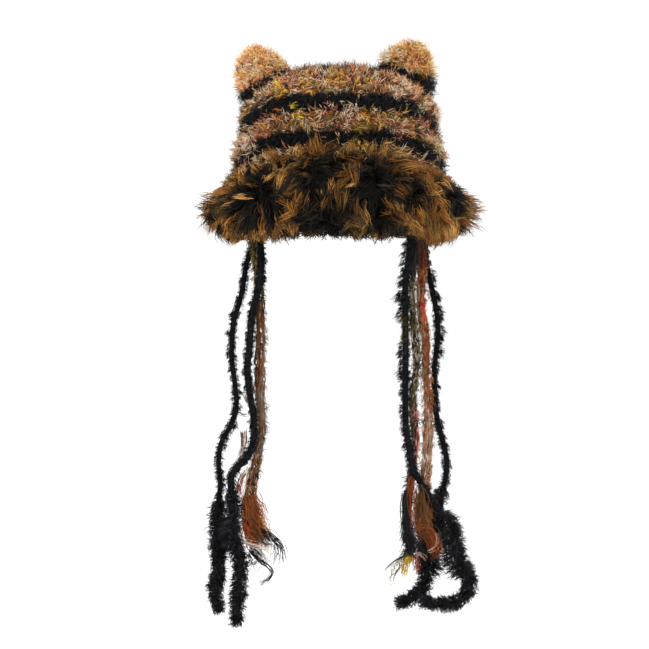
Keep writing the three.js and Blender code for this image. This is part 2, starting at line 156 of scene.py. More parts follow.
def dye_of(*codes):
    """Colours as linear light, one row for each usual colour code."""
    plain = np.array([[int(code[i : i + 2], 16) / 255 for i in (1, 3, 5)] for code in codes])
    return np.where(plain < 0.04045, plain / 12.92, ((plain + 0.055) / 1.055) ** 2.4)


def picked(codes, count, dice):
    """One of the colours for each of count tufts, by chance."""
    return dye_of(*codes)[dice.integers(len(codes), size=count)]


def unit(vectors):
    return vectors / np.maximum(np.linalg.norm(vectors, axis=-1, keepdims=True), 1e-9)


yarn_dice = np.random.default_rng(5)
stretch_colour = yarn_dice.choice(len(MOTTLED_YARN), size=(ROUNDS, STRETCHES_ROUND), p=MOTTLED_SHARES)


def knitted_dye(heights, turns, dice):
    """The yarn's colour at places on the crown, and which band each is in. Odd bands are black."""
    far = np.where(np.sin(turns)[:, None] < 0, bands["left"], bands["right"])
    starts = bands["front"] + (far - bands["front"]) * np.abs(np.sin(turns))[:, None] ** BAND_POWER
    band = (heights[:, None] < starts).sum(axis=1)
    drop = edges["side_drop"][ROUND_DROP_ROW] * side_share(turns)
    level = np.floor((heights + drop) / ROUND_HEIGHT).astype(int)
    around = (turns / (2 * np.pi) * STRETCHES_ROUND + level * ROUND_SHIFT).astype(int) % STRETCHES_ROUND
    which = stretch_colour[level % ROUNDS, around]
    mixed = dice.random(len(which)) < OTHER_COLOUR
    which[mixed] = dice.choice(len(MOTTLED_YARN), size=mixed.sum(), p=MOTTLED_SHARES)
    colour = dye_of(*MOTTLED_YARN)[which] * BAND_LIGHT[band][:, None]
    gold = band == GOLD_BAND
    colour[gold] = picked(GOLD_YARN, gold.sum(), dice)
    black = band % 2 == 1
    colour[black] = picked(BLACK_YARN, black.sum(), dice)
    return colour, band


def placed(name, data):
    """A new object in the scene."""
    piece = bpy.data.objects.new(name, data)
    bpy.context.scene.collection.objects.link(piece)
    return piece


def finish(bm, name):
    """The bmesh as an object with smooth faces."""
    mesh = bpy.data.meshes.new(name)
    bm.to_mesh(mesh)
    bm.free()
    mesh.shade_smooth()
    return placed(name, mesh)


def wire(node, inputs):
    """Gives each of a node's inputs its value, or the output of another node that feeds it."""
    for socket, given in inputs.items():
        if isinstance(given, bpy.types.NodeSocket):
            node.id_data.links.new(given, node.inputs[socket])
        else:
            node.inputs[socket].default_value = given


def node_in(material, kind, inputs, output, **settings):
    """A new node of a material with its settings and inputs, as the output that is used of it."""
    node = material.node_tree.nodes.new(kind)
    for key, value in settings.items():
        setattr(node, key, value)
    wire(node, inputs)
    return node.outputs[output]


def new_material(name, roughness, shine):
    """A new material, and its shader."""
    material = bpy.data.materials.new(name)
    material.use_nodes = True
    shader = material.node_tree.nodes["Principled BSDF"]
    wire(shader, {"Roughness": roughness, "Specular IOR Level": shine})
    return material, shader


def maths(material, operation, first, second):
    return node_in(material, "ShaderNodeMath", {0: first, 1: second}, 0, operation=operation)


def noise_in(material, scale, detail=2):
    """Fine felted fibres, the same all through a piece."""
    places = node_in(material, "ShaderNodeTexCoord", {}, "Object")
    settings = {"Vector": places, "Scale": scale, "Detail": detail}
    return node_in(material, "ShaderNodeTexNoise", settings, "Fac")


def yarn_finish(name, roughness=0.7, shine=0.2, sheen=0.1, stitches=None, fuzz=0.001):
    """Dyed yarn. stitches are counts round and down a piece's own map, for knitting, and fuzz is the size in
    metres of the felted fibres on any other piece."""
    material, shader = new_material(name, roughness, shine)
    # The dye attribute holds each piece's yarn colour, on most pieces with painted shade and painted light
    # put in.
    dye = node_in(material, "ShaderNodeVertexColor", {}, "Color", layer_name="dye")
    if stitches:
        places = node_in(material, "ShaderNodeUVMap", {}, "UV", uv_map="OFBake")
        across = node_in(material, "ShaderNodeSeparateXYZ", {"Vector": places}, "X")
        down = node_in(material, "ShaderNodeSeparateXYZ", {"Vector": places}, "Y")
        vee = maths(material, "PINGPONG", maths(material, "MULTIPLY", across, stitches[0]), 0.5)
        leaning = maths(material, "ADD", maths(material, "MULTIPLY", down, stitches[1]), vee)
        relief = maths(material, "PINGPONG", leaning, 0.5)
        depth = 0.0025
    else:
        relief = noise_in(material, 1 / fuzz, 3)
        depth = 0.0004
    bump = {"Strength": 0.6, "Distance": depth, "Height": relief}
    normal = node_in(material, "ShaderNodeBump", bump, "Normal")
    wire(shader, {"Sheen Weight": sheen, "Sheen Roughness": 0.4, "Base Color": dye, "Normal": normal})
    return material


bm = bmesh.new()
bm.loops.layers.uv.new("OFBake")
dye_and_shade_layer = bm.verts.layers.float_color.new("dye")
bmesh.ops.create_grid(bm, x_segments=SIDES_ROUND, y_segments=COURSE_STEPS, size=0.5, calc_uvs=True)
flat = np.array([vert.co[:] for vert in bm.verts])
turns = (flat[:, 0] + 0.5) * 2 * np.pi
places = (0.5 - flat[:, 1]) * RIM
ridges = COURSE_RIDGE * np.cos(2 * np.pi * COURSES * places / RIM) - KNIT_INSET
points = crown_point(places, turns, ridges)
colours, _ = knitted_dye(points[:, 2], turns, np.random.default_rng(6))
# The knitting's dye attribute holds its yarn's colour in painted shade, darkened by KNIT_SHADE.
for vert, point, colour in zip(bm.verts, points, colours):
    vert.co = point
    vert[dye_and_shade_layer] = (*(KNIT_SHADE * colour), 1)
bmesh.ops.remove_doubles(bm, verts=bm.verts, dist=WELD)
bmesh.ops.recalc_face_normals(bm, faces=bm.faces)
crown_knit = finish(bm, "crown_knit")
thickness = crown_knit.modifiers.new("knitting", "SOLIDIFY")
thickness.thickness = KNIT_THICK
thickness.offset = -1
crown_knit.data.materials.append(
    yarn_finish("knitted_yarn", shine=0.1, sheen=0, stitches=(STITCHES_ROUND, COURSES))
)
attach(crown_knit, "root")
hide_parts("crown")

# The crown's pile: short lashes that stand out of the eyelash yarn all over it, in small tufts that each
# keep their stretch's colour. Cream tufts and the dark curls on the crest are the yarn's own. Elsewhere
# the dark tufts and dark hairs are painted shade in the gaps of the pile, and scattered cream hairs are
# painted highlights of the glossy lashes.
PILE_TUFTS = 9600
PILE_HAIRS = 5
PILE_LENGTH = 0.0085
PILE_GIRTH = 0.00042
LENGTH_SPREAD = (0.6, 1.35)
GIRTH_SPREAD = (0.6, 1.2)
BLACK_LENGTH = 0.85  # as a share of the mottled pile's length
TUFT_WIDTH = 0.0012
PILE_FRAY = 0.0024
PILE_SCATTER = 0.75
PILE_SAG = (0, 0, -0.15)
BANDS_MINGLE = 0.0011  # how far tufts stray over the bands' edges
PILE_END = 7.6  # the pile stops under the brim's fur, at this place down the crown
BEND = 0.5  # where a hair bends, as a share of its length off the wall
MIXED_TOP = (-0.042, 0.030)  # between these half of the first black band's tufts are mottled
MIXED_SHARE = 0.5
# The crest's dark tufts are the yarn's own dark curls; on the other mottled bands they are painted shade in
# the gaps of the pile.
CREST_DARK = 0.62  # the share of dark tufts above that band
BAND_SHADE = 0.17  # and on the other mottled bands
CREAM_FROM = 0.94  # a mottled tuft whose chance is above this is cream
BLACK_CREAM_FROM = 0.985  # and a black one above this
# Painted highlights: scattered cream hairs stand for the glint of the glossy lashes.
PAINTED_HIGHLIGHT_HAIRS = (0.12, 0.004)  # the share of cream hairs in mottled and in black tufts
# Painted shade: a hair of a worked tuft whose chance is above this is dark, for the gaps of the pile.
SHADED_HAIRS_FROM = 0.88
ACCENT_SHARE = 0.75
ACCENT_LIGHT = 0.9
ACCENTS = {  # x, z and radius of the front's brightest places
    "#efc52c": [(-0.0385, -0.033, 0.0065), (-0.033, -0.041, 0.004), (-0.0545, -0.0125, 0.004)],
    "#dca02c": [
        (-0.029, -0.006, 0.006), (-0.004, -0.005, 0.007), (0.023, -0.040, 0.008), (0.017, -0.066, 0.008),
    ],
    "#d08058": [
        (-0.009, -0.031, 0.006), (-0.066, -0.050, 0.008), (0.053, -0.050, 0.008), (0.017, -0.002, 0.006),
    ],
    "#ddd09a": [(0.088, -0.062, 0.007), (0.072, -0.027, 0.006)],
    "#f3cfae": [(0.010, -0.033, 0.005), (-0.080, -0.062, 0.008), (0.052, -0.016, 0.007)],
}


def roots_on(piece, count, dice):
    """Points spread evenly over a piece's faces, with the way each faces and its place in the piece's map."""
    mesh = piece.data
    mesh.calc_loop_triangles()
    faces = len(mesh.loop_triangles)
    corners, loops = np.empty(faces * 3, dtype=int), np.empty(faces * 3, dtype=int)
    mesh.loop_triangles.foreach_get("vertices", corners)
    mesh.loop_triangles.foreach_get("loops", loops)
    points, normals = (np.empty(len(mesh.vertices) * 3) for _ in range(2))
    mesh.vertices.foreach_get("co", points)
    mesh.vertices.foreach_get("normal", normals)
    a, b, c = points.reshape(-1, 3)[corners.reshape(-1, 3)].transpose(1, 0, 2)
    reach = np.cumsum(np.linalg.norm(np.cross(b - a, c - a), axis=1))
    spots = (np.arange(count) + dice.random(count)) / count * reach[-1]
    face = np.searchsorted(reach, spots).clip(0, faces - 1)
    along, across = np.sqrt(dice.random(count)), dice.random(count)
    share = np.stack([1 - along, along * (1 - across), along * across], axis=1)[:, :, None]
    places = None
    if mesh.uv_layers:
        places = np.empty(len(mesh.loops) * 2)
        mesh.uv_layers[0].uv.foreach_get("vector", places)
        places = (places.reshape(-1, 2)[loops.reshape(-1, 3)[face]] * share).sum(axis=1)
    at = (points.reshape(-1, 3)[corners.reshape(-1, 3)[face]] * share).sum(axis=1)
    facing = (normals.reshape(-1, 3)[corners.reshape(-1, 3)[face]] * share).sum(axis=1)
    return at, unit(facing), places


def hair_paths(roots, facing, tips, dice, hairs, width, fray, stations=3, uneven=0.35):
    """The paths of the hairs in tufts. Each hair leaves the wall square to it and bends towards its tuft's
    tip. width is how far apart a tuft's roots are, and fray how far apart its tips are."""
    count = len(roots)
    apart = dice.normal(size=(count, hairs, 3))
    apart -= (apart * facing[:, None]).sum(axis=-1, keepdims=True) * facing[:, None]
    start = roots[:, None] + width * apart
    reach = dice.uniform(1 - uneven, 1 + uneven / 3, (count, hairs, 1))
    end = roots[:, None] + (tips - roots)[:, None] * reach + fray * dice.normal(size=(count, hairs, 3))
    length = np.linalg.norm(end - start, axis=-1, keepdims=True)
    bend = start + facing[:, None] * length * BEND + 0.15 * length * dice.normal(size=(count, hairs, 3))
    t = np.linspace(0, 1, stations)[:, None]
    start, bend, end = start[:, :, None], bend[:, :, None], end[:, :, None]
    paths = (1 - t) ** 2 * start + 2 * t * (1 - t) * bend + t**2 * end
    return paths.reshape(-1, stations, 3)


def strands(name, paths, girth, dye, material, root_shade=0.5, tip_light=1.1, sides=3, full=False):
    """Many closed strands as one joined mesh, each along its path and pointed at both ends. Hairs grow thin
    towards their tips, and full ones keep their girth. girth has one value for each strand, and dye has one
    for each strand or for each of its stations. The colour is painted shade at the root, root_shade times
    the dye, and painted light at the tip, tip_light times the dye."""
    count, stations = paths.shape[:2]
    ahead = unit(np.gradient(paths, axis=1))
    aside = unit(np.cross(ahead, unit(np.array([0.31, 0.87, -0.38]))))
    over = np.cross(ahead, aside)
    along = np.arange(stations) / (stations - 1)
    taper = np.ones(stations) if full else 1.1 - 0.8 * along**1.5
    turns = np.arange(sides) / sides * 2 * np.pi
    round_it = np.cos(turns)[:, None] * aside[:, :, None] + np.sin(turns)[:, None] * over[:, :, None]
    rings = paths[:, :, None] + (np.asarray(girth)[:, None] * taper)[:, :, None, None] * round_it
    rings = rings[:, 1:-1].reshape(count, -1, 3)
    points = np.concatenate([paths[:, :1], rings, paths[:, -1:]], axis=1)
    each = points.shape[1]
    tip = each - 1
    last = tip - sides
    faces = []
    for i in range(sides):
        j = (i + 1) % sides
        faces += [[1 + j, 1 + i, 0], [last + i, last + j, tip]]
        for low in range(1, last, sides):
            faces += [[low + i, low + j, low + sides + j], [low + i, low + sides + j, low + sides + i]]
    faces = np.array(faces)
    everywhere = (faces[None] + np.arange(count)[:, None, None] * each).reshape(-1, 3)
    mesh = bpy.data.meshes.new(name)
    mesh.from_pydata(points.reshape(-1, 3).tolist(), [], everywhere.tolist(), shade_flat=False)
    # Painted shade darkens each strand's colour towards its root, for the shade among the hairs, and painted
    # light brightens it towards its tip.
    level = np.concatenate([[0], np.repeat(along[1:-1], sides), [1]])
    light = root_shade + (tip_light - root_shade) * level**0.7
    dye = np.asarray(dye)
    if dye.ndim == 2:
        dye = np.repeat(dye[:, None], stations, axis=1)
    dye = np.concatenate([dye[:, :1], np.repeat(dye[:, 1:-1], sides, axis=1), dye[:, -1:]], axis=1)
    colour = np.ones((count, each, 4))
    colour[:, :, :3] = (dye * light[:, None]).clip(0, 1)
    mesh.color_attributes.new("dye", "FLOAT_COLOR", "POINT").data.foreach_set("color", colour.ravel())
    cells = math.ceil(math.sqrt(count))
    side = np.concatenate([[0.5], np.tile((np.arange(sides) + 0.5) / sides, stations - 2), [0.5]])
    inside = 0.1 + 0.8 * np.stack([side, level], axis=1)
    cell = np.stack([np.arange(count) % cells, np.arange(count) // cells], axis=1)
    spots = (cell[:, None] + inside[faces.ravel()][None]) / cells
    mesh.uv_layers.new(name="OFBake").uv.foreach_set("vector", spots.ravel())
    mesh.materials.append(material)
    return placed(name, mesh)


def varied(dye, hairs, dice, spread=0.25):
    """Each tuft's colour given to its hairs, a little lighter or darker."""
    dye = np.repeat(dye, hairs, axis=0)
    return dye * dice.uniform(1 - spread, 1 + spread, (len(dye), 1))


pile_yarn = yarn_finish("pile_yarn", roughness=0.55, shine=0.15, sheen=0.05, fuzz=0.0006)
for part, seed in (("front", 21), ("back", 22)):
    dice = np.random.default_rng(seed)
    roots, facing, spots = roots_on(crown_knit, PILE_TUFTS, dice)
    places, turns = (1 - spots[:, 1]) * RIM, spots[:, 0] * 2 * np.pi
    wanted = (places < PILE_END) & ((roots[:, 1] < 0) == (part == "front"))
    roots, facing, turns = roots[wanted], facing[wanted], turns[wanted]
    heights = roots[:, 2] + BANDS_MINGLE * dice.normal(size=len(roots))
    dye, band = knitted_dye(heights, turns, dice)
    black = band % 2 == 1
    chance = dice.random(len(dye))
    top_mix = (band == 1) & (roots[:, 0] > MIXED_TOP[0]) & (roots[:, 0] < MIXED_TOP[1])
    top_mix &= chance < MIXED_SHARE
    dye[top_mix] = picked(MOTTLED_YARN, top_mix.sum(), dice) * BAND_LIGHT[1]
    black &= ~top_mix
    # Dark tufts: the yarn's own dark curls on the crest, painted shade in the gaps of the pile on the other
    # mottled bands.
    dark = ~black & (chance < np.where(band == 0, CREST_DARK, BAND_SHADE))
    dye[dark] = picked(SHADE_AND_DARK_CURLS, dark.sum(), dice)
    dye[~black & (chance > CREAM_FROM)] = dye_of(CREAM)
    dye[black & (chance > BLACK_CREAM_FROM)] = dye_of(CREAM) * 0.6
    if part == "front":
        for code, rows in ACCENTS.items():
            for x, z, radius in rows:
                near = np.hypot(roots[:, 0] - x, roots[:, 2] - z) < radius
                dye[near & (chance < ACCENT_SHARE)] = dye_of(code) * ACCENT_LIGHT
                black &= ~near
    length = PILE_LENGTH * dice.uniform(*LENGTH_SPREAD, (len(dye), 1))
    length *= np.where(black, BLACK_LENGTH, 1)[:, None]
    lean = facing + PILE_SCATTER * dice.normal(size=facing.shape) + PILE_SAG
    tips = roots + unit(lean) * length
    paths = hair_paths(roots, facing, tips, dice, PILE_HAIRS, TUFT_WIDTH, PILE_FRAY)
    hair_dye_and_painted_light = varied(dye, PILE_HAIRS, dice, 0.4)
    stray = dice.random(len(hair_dye_and_painted_light))
    worked = np.repeat(~black, PILE_HAIRS)
    light = np.repeat(BAND_LIGHT[band], PILE_HAIRS)[:, None]
    # Painted highlights: scattered cream hairs, as the lashes' glint.
    painted_highlights = stray < np.where(worked, *PAINTED_HIGHLIGHT_HAIRS)
    hair_dye_and_painted_light[painted_highlights] = (dye_of(CREAM) * light)[painted_highlights]
    # Painted shade: some hairs of the worked tufts are dark, for the gaps between them.
    hair_dye_and_painted_light[worked & (stray > SHADED_HAIRS_FROM)] = dye_of(SHADE_AND_DARK_CURLS[0])
    girth = PILE_GIRTH * dice.uniform(*GIRTH_SPREAD, len(paths))
    pile = strands(f"crown_pile_{part}", paths, girth, hair_dye_and_painted_light, pile_yarn)
    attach(pile, "root")

# The ears are two puffy pads of the mottled yarn, knitted as small bags and sewn to the shoulders of the
# crown. Each is swollen by its own thickness, and is covered with the same lashes as the crown.
EAR_COLUMNS = ("z", "x", "half_width", "half_depth")
EARS = {
    "ear_left": [
        (-0.030, -0.064, 0.012, 0.009),
        (-0.022, -0.068, 0.019, 0.014),
        (-0.012, -0.0695, 0.023, 0.017),
        (0.000, -0.0695, 0.0235, 0.0165),
        (0.010, -0.070, 0.022, 0.015),
        (0.017, -0.073, 0.0175, 0.0125),
        (0.023, -0.0755, 0.011, 0.009),
        (0.0262, -0.078, 0.003, 0.003),
    ],
    "ear_right": [
        (-0.029, 0.061, 0.012, 0.009),
        (-0.021, 0.064, 0.019, 0.014),
        (-0.010, 0.063, 0.0235, 0.017),
        (0.002, 0.0625, 0.0235, 0.0165),
        (0.013, 0.0625, 0.0225, 0.015),
        (0.021, 0.0625, 0.020, 0.0125),
        (0.027, 0.066, 0.0145, 0.009),
        (0.032, 0.0715, 0.0065, 0.0045),
    ],
}
EAR_YARN = {
    "ear_left": ("#f0bc88", "#ec9e54", "#eeb458", "#e8863c", "#f4d0a4", "#ea9c74", "#f2b458", "#eebc90"),
    "ear_right": ("#d89c38", "#cc8038", "#dcb058", "#cc8438", "#b86438", "#e4c08c", "#d0942c", "#d89c68"),
}
FOOT_COLUMNS = ("x", "top", "bottom")
EAR_FEET = {  # black yarn is worked round the foot of each ear
    "ear_left": [
        (-0.097, -0.018, -0.036), (-0.082, -0.0096, -0.022), (-0.071, -0.0031, -0.0165),
        (-0.059, 0.0050, -0.010), (-0.045, 0.008, -0.003),
    ],
    "ear_right": [
        (0.040, 0.014, 0.0), (0.056, 0.0092, -0.0035), (0.070, 0.0033, -0.0065), (0.084, 0.0, -0.019),
        (0.092, -0.003, -0.024),
    ],
}
EAR_INSET = 0.0015
EAR_PATCH = 0.009  # how large the patches of one colour are
PATCH_KEYS = (7, 13, 29)  # they make one number of a patch's place
EAR_TUFTS = 1400
EAR_HAIRS = 5
EAR_LENGTH = 0.0070
EAR_SCATTER = 0.9
EAR_FRAY = 0.0022
FOOT_MINGLE = 0.0008
# Painted shade: dark tufts among the lashes stand for the gaps of the pile.
EAR_SHADED_TUFTS = 0.07  # the share of dark tufts
EAR_PALE_HAIRS = 0.08
# Painted shade: an ear pad's own colour is darkened to this share, for the shade of its pile.
PAD_SHADE = 0.35
EAR_SWELL = 0.0025
STUFFING = 4  # the pressure inside an ear
SETTLING = 20  # frames
INNER_SHOULDER = (0.052, 0.014)  # nearer to the middle than this and above this, an ear is cream and wispy
TUCKED = 0.0012  # how far under the crown's surface the hidden part of an ear ends


def puffed(piece, voxel=0.004, most=EAR_SWELL):
    """Swells a closed pad as its stuffing does, with a cloth simulation that moves no point further than
    most."""
    for other in bpy.context.scene.objects:
        other.select_set(False)
    bpy.context.view_layer.objects.active = piece
    remesh = piece.modifiers.new("even mesh", "REMESH")
    remesh.voxel_size = voxel
    bpy.ops.object.modifier_apply(modifier=remesh.name)
    before = np.array([vert.co[:] for vert in piece.data.vertices])
    cloth = piece.modifiers.new("knitted bag", "CLOTH")
    cloth.settings.use_pressure = True
    cloth.settings.uniform_pressure_force = STUFFING
    cloth.settings.effector_weights.gravity = 0
    scene = bpy.context.scene
    for frame_number in range(1, SETTLING + 1):
        scene.frame_set(frame_number)
    swollen = piece.evaluated_get(bpy.context.evaluated_depsgraph_get())
    after = np.array([vert.co[:] for vert in swollen.data.vertices])
    piece.modifiers.remove(cloth)
    scene.frame_set(1)
    moved = after - before
    far = np.linalg.norm(moved, axis=1, keepdims=True)
    after = before + moved * np.minimum(1, most / np.maximum(far, 1e-9))
    piece.data.vertices.foreach_set("co", after.ravel())
    piece.data.update()


crown_faces = [face.vertices[:] for face in crown_knit.data.polygons]
crown_surface = BVHTree.FromPolygons([vert.co for vert in crown_knit.data.vertices], crown_faces)


def crown_top(point):
    """The height of the crown's surface over or under a point, or a low one where the crown isn't there."""
    hit = crown_surface.ray_cast(Vector((point[0], point[1], 0.2)), Vector((0, 0, -1)))[0]
    return hit.z if hit else -1.0


def ear_dye(name, at, dice):
    """The yarn's colour at points of an ear, and which of them are above its black foot."""
    foot = columns_of(FOOT_COLUMNS, EAR_FEET[name])
    top = np.interp(at[:, 0], foot["x"], foot["top"])
    bottom = np.interp(at[:, 0], foot["x"], foot["bottom"])
    own = at[:, 2] >= top
    black = ~own & (at[:, 2] > bottom)
    patch = np.floor(at / EAR_PATCH + 0.4 * dice.normal(size=at.shape)).astype(int) @ PATCH_KEYS
    dye = picked(MOTTLED_YARN, len(at), dice)
    dye[own] = dye_of(*EAR_YARN[name])[patch % len(EAR_YARN[name])][own]
    dye[black] = picked(BLACK_YARN, black.sum(), dice)
    return dye, own, black


for seed, (name, levels) in enumerate(EARS.items(), start=41):
    dice = np.random.default_rng(seed)
    ear = columns_of(EAR_COLUMNS, levels)
    bm = bmesh.new()
    bmesh.ops.create_uvsphere(bm, u_segments=32, v_segments=24, radius=1)
    ball = np.array([vert.co[:] for vert in bm.verts])
    level = (ball[:, 2] + 1) / 2 * (len(levels) - 1)
    closing = np.hypot(ball[:, 0], ball[:, 1])
    plump = np.sqrt(closing)
    way = ball[:, :2] / np.maximum(closing, 1e-6)[:, None]
    width = (between_rows(ear["half_width"], level) - EAR_INSET) * plump
    depth = (between_rows(ear["half_depth"], level) - EAR_INSET) * plump
    x = between_rows(ear["x"], level) + width * way[:, 0]
    points = np.stack([x, depth * way[:, 1], between_rows(ear["z"], level)], axis=1)
    for vert, point in zip(bm.verts, points):
        vert.co = point
    bmesh.ops.recalc_face_normals(bm, faces=bm.faces)
    pad = finish(bm, f"{name}_pad")
    puffed(pad)
    for vert in pad.data.vertices:
        vert.co.z = max(vert.co.z, crown_top(vert.co) - TUCKED)
    pad.data.shade_smooth()
    # The pad's dye attribute holds its yarn's colour in painted shade.
    shaded_pad_colours = PAD_SHADE * ear_dye(name, np.array([vert.co[:] for vert in pad.data.vertices]), dice)[0]
    base = pad.data.color_attributes.new("dye", "FLOAT_COLOR", "POINT")
    base.data.foreach_set("color", np.insert(shaded_pad_colours, 3, 1, axis=1).ravel())
    pad.data.materials.append(pile_yarn)
    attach(pad, "root")
    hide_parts(name)

    roots, facing, _ = roots_on(pad, EAR_TUFTS, dice)
    shown = roots[:, 2] > np.array([crown_top(root) for root in roots]) - TUCKED / 2
    roots, facing = roots[shown], facing[shown]
    dye, own, black = ear_dye(name, roots + FOOT_MINGLE * dice.normal(size=roots.shape), dice)
    chance = dice.random(len(dye))
    edge = 1 - np.abs(facing[:, 1])  # cream shows most round an ear's edge
    shoulder = own & (np.abs(roots[:, 0]) < INNER_SHOULDER[0]) & (roots[:, 2] > INNER_SHOULDER[1])
    dye[own & (chance > 0.95 - 0.4 * edge**2 - 0.2 * shoulder)] = dye_of(CREAM)
    # Painted shade: dark tufts for the gaps between the lashes.
    dark = ~black & (chance < EAR_SHADED_TUFTS)
    dye[dark] = picked(SHADE_AND_DARK_CURLS, dark.sum(), dice)
    length = EAR_LENGTH * dice.uniform(*LENGTH_SPREAD, (len(dye), 1))
    length[shoulder] *= 1.25
    tips = roots + unit(facing + EAR_SCATTER * dice.normal(size=facing.shape)) * length
    paths = hair_paths(roots, facing, tips, dice, EAR_HAIRS, TUFT_WIDTH, EAR_FRAY)
    girth = PILE_GIRTH * dice.uniform(0.5, 1.0, len(paths))
    hair_dye_and_painted_light = varied(dye, EAR_HAIRS, dice, 0.3)
    stray = (dice.random(len(hair_dye_and_painted_light)) < EAR_PALE_HAIRS) & np.repeat(own, EAR_HAIRS)
    hair_dye_and_painted_light[stray] = dye_of(CREAM)
    pile = strands(f"{name}_pile", paths, girth, hair_dye_and_painted_light, pile_yarn, 0.65, 1.35)
    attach(pile, "root")

# The brim is a hoop of long-pile knitting, sewn on over the last rounds of the crown and rolled outwards.
# Its fur is black, brown and tan. It lies parted round the black patches, with the tan hair drawn together
# into pointed wisps.
BRIM_COLUMNS = ("down", "below", "out", "side_rise")
BRIM_SECTION = [
    (0.0, 0.0, -0.001, 0.0),
    (0.5, 0.0, -0.001, 0.0),
    (1.0, 0.0, -0.001, 0.0),
    (1.0, 0.002, -0.001, 0.0),
    (1.0, 0.003, 0.007, 0.0),
    (1.0, 0.0, 0.014, 0.0),
    (0.84, 0.0, 0.020, 0.0),
    (0.5, 0.0, 0.021, 0.003),
    (0.2, 0.0, 0.015, 0.005),
    (0.0, 0.0, 0.006, 0.006),
]
HEM_STATION = 5.6  # below this station of the section all hairs point down
BRIM_FOOT = 3.2  # the fur starts from this one
BRIM_SHOULDER = 8.7  # and stands up above this one
BRIM_WAIST = (7.2, 8.4)  # at the sides it stands out below the first of these, and lies flat above both
FUR_TUFTS = 4000
FUR_HAIRS = 11
FUR_LENGTH = 0.025
FUR_GIRTH = 0.00048
FUR_WIDTH = 0.0017
FUR_FRAY = (0.0011, 0.0026)  # of tan and of darker tufts
FUR_SCATTER = 0.55
PARTING = 1.6  # how hard the fur leans away from a patch's middle
BACKING_DYE = "#120e0a"
TAN_FUR = ("#ae7634", "#94622a", "#c2863f", "#744a20", "#7e6432", "#cf9a54", "#9e682c", "#8a5626")
BROWN_FUR = ("#3a2d1a", "#4a3820", "#2c2416", "#573f20", "#403624")
BLACK_FUR = ("#0d0b0a", "#151311", "#1d1b18", "#0a0908", "#221d17")
PATCHES = [  # x, z and radius of the front's black patches
    (-0.070, -0.115, 0.019), (-0.109, -0.132, 0.010), (-0.046, -0.074, 0.012), (-0.007, -0.087, 0.009),
    (-0.021, -0.093, 0.013), (0.030, -0.101, 0.016), (0.064, -0.108, 0.009), (0.098, -0.111, 0.008),
    (0.051, -0.140, 0.009), (-0.014, -0.132, 0.016), (-0.068, -0.076, 0.011), (0.114, -0.138, 0.008),
    (0.032, -0.128, 0.010),
]
RISING_UP = 2.0
RISING = [(-0.075, 0.05), (-0.06, 0.8), (-0.02, 0.8), (0.0, 0.4), (0.05, 0.35), (0.065, 0.05)]
BACK_PATCHES = 16
BACK_DOWN = (0.2, 1.9)  # where they are, as places down from the brim's top
BACK_RADII = (0.009, 0.017)
HEM = [  # x, and the height where the fur ends there
    (-0.126, -0.1395), (-0.118, -0.1453), (-0.105, -0.149), (-0.0984, -0.155), (-0.090, -0.146),
    (-0.075, -0.149), (-0.0626, -0.1528), (-0.0505, -0.149), (-0.0393, -0.148), (-0.0337, -0.1434),
    (0.0, -0.145), (0.013, -0.1477), (0.024, -0.1528), (0.033, -0.1505), (0.048, -0.1477),
    (0.057, -0.1427), (0.066, -0.1435), (0.082, -0.156), (0.094, -0.1556), (0.104, -0.1505),
    (0.107, -0.145), (0.1214, -0.142),
]
BACK_HEM = -0.1455

bm = bmesh.new()
bm.loops.layers.uv.new("OFBake")
dye_and_shade_layer = bm.verts.layers.float_color.new("dye")
stations = len(BRIM_SECTION)
bmesh.ops.create_grid(bm, x_segments=SIDES_ROUND, y_segments=3 * stations, size=0.5, calc_uvs=True)
flat = np.array([vert.co[:] for vert in bm.verts])
turns = (flat[:, 0] + 0.5) * 2 * np.pi
section = columns_of(BRIM_COLUMNS, BRIM_SECTION + BRIM_SECTION[:1])
place = (flat[:, 1] + 0.5) * stations
down, below, out, rise = (np.interp(place, np.arange(stations + 1), section[key]) for key in BRIM_COLUMNS)
hoop = crown_point(BRIM_TOP + down * (RIM - BRIM_TOP), turns, out)
hoop[:, 2] += rise * side_share(turns) - below
for vert, point in zip(bm.verts, hoop):
    vert.co = point
    vert[dye_and_shade_layer] = (*dye_of(BACKING_DYE)[0], 1)
bmesh.ops.remove_doubles(bm, verts=bm.verts, dist=WELD)
bmesh.ops.recalc_face_normals(bm, faces=bm.faces)
backing = finish(bm, "brim_backing")
backing.data.materials.append(yarn_finish("brim_backing_yarn", shine=0.05, sheen=0, fuzz=0.002))
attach(backing, "root")
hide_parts("fur_brim")

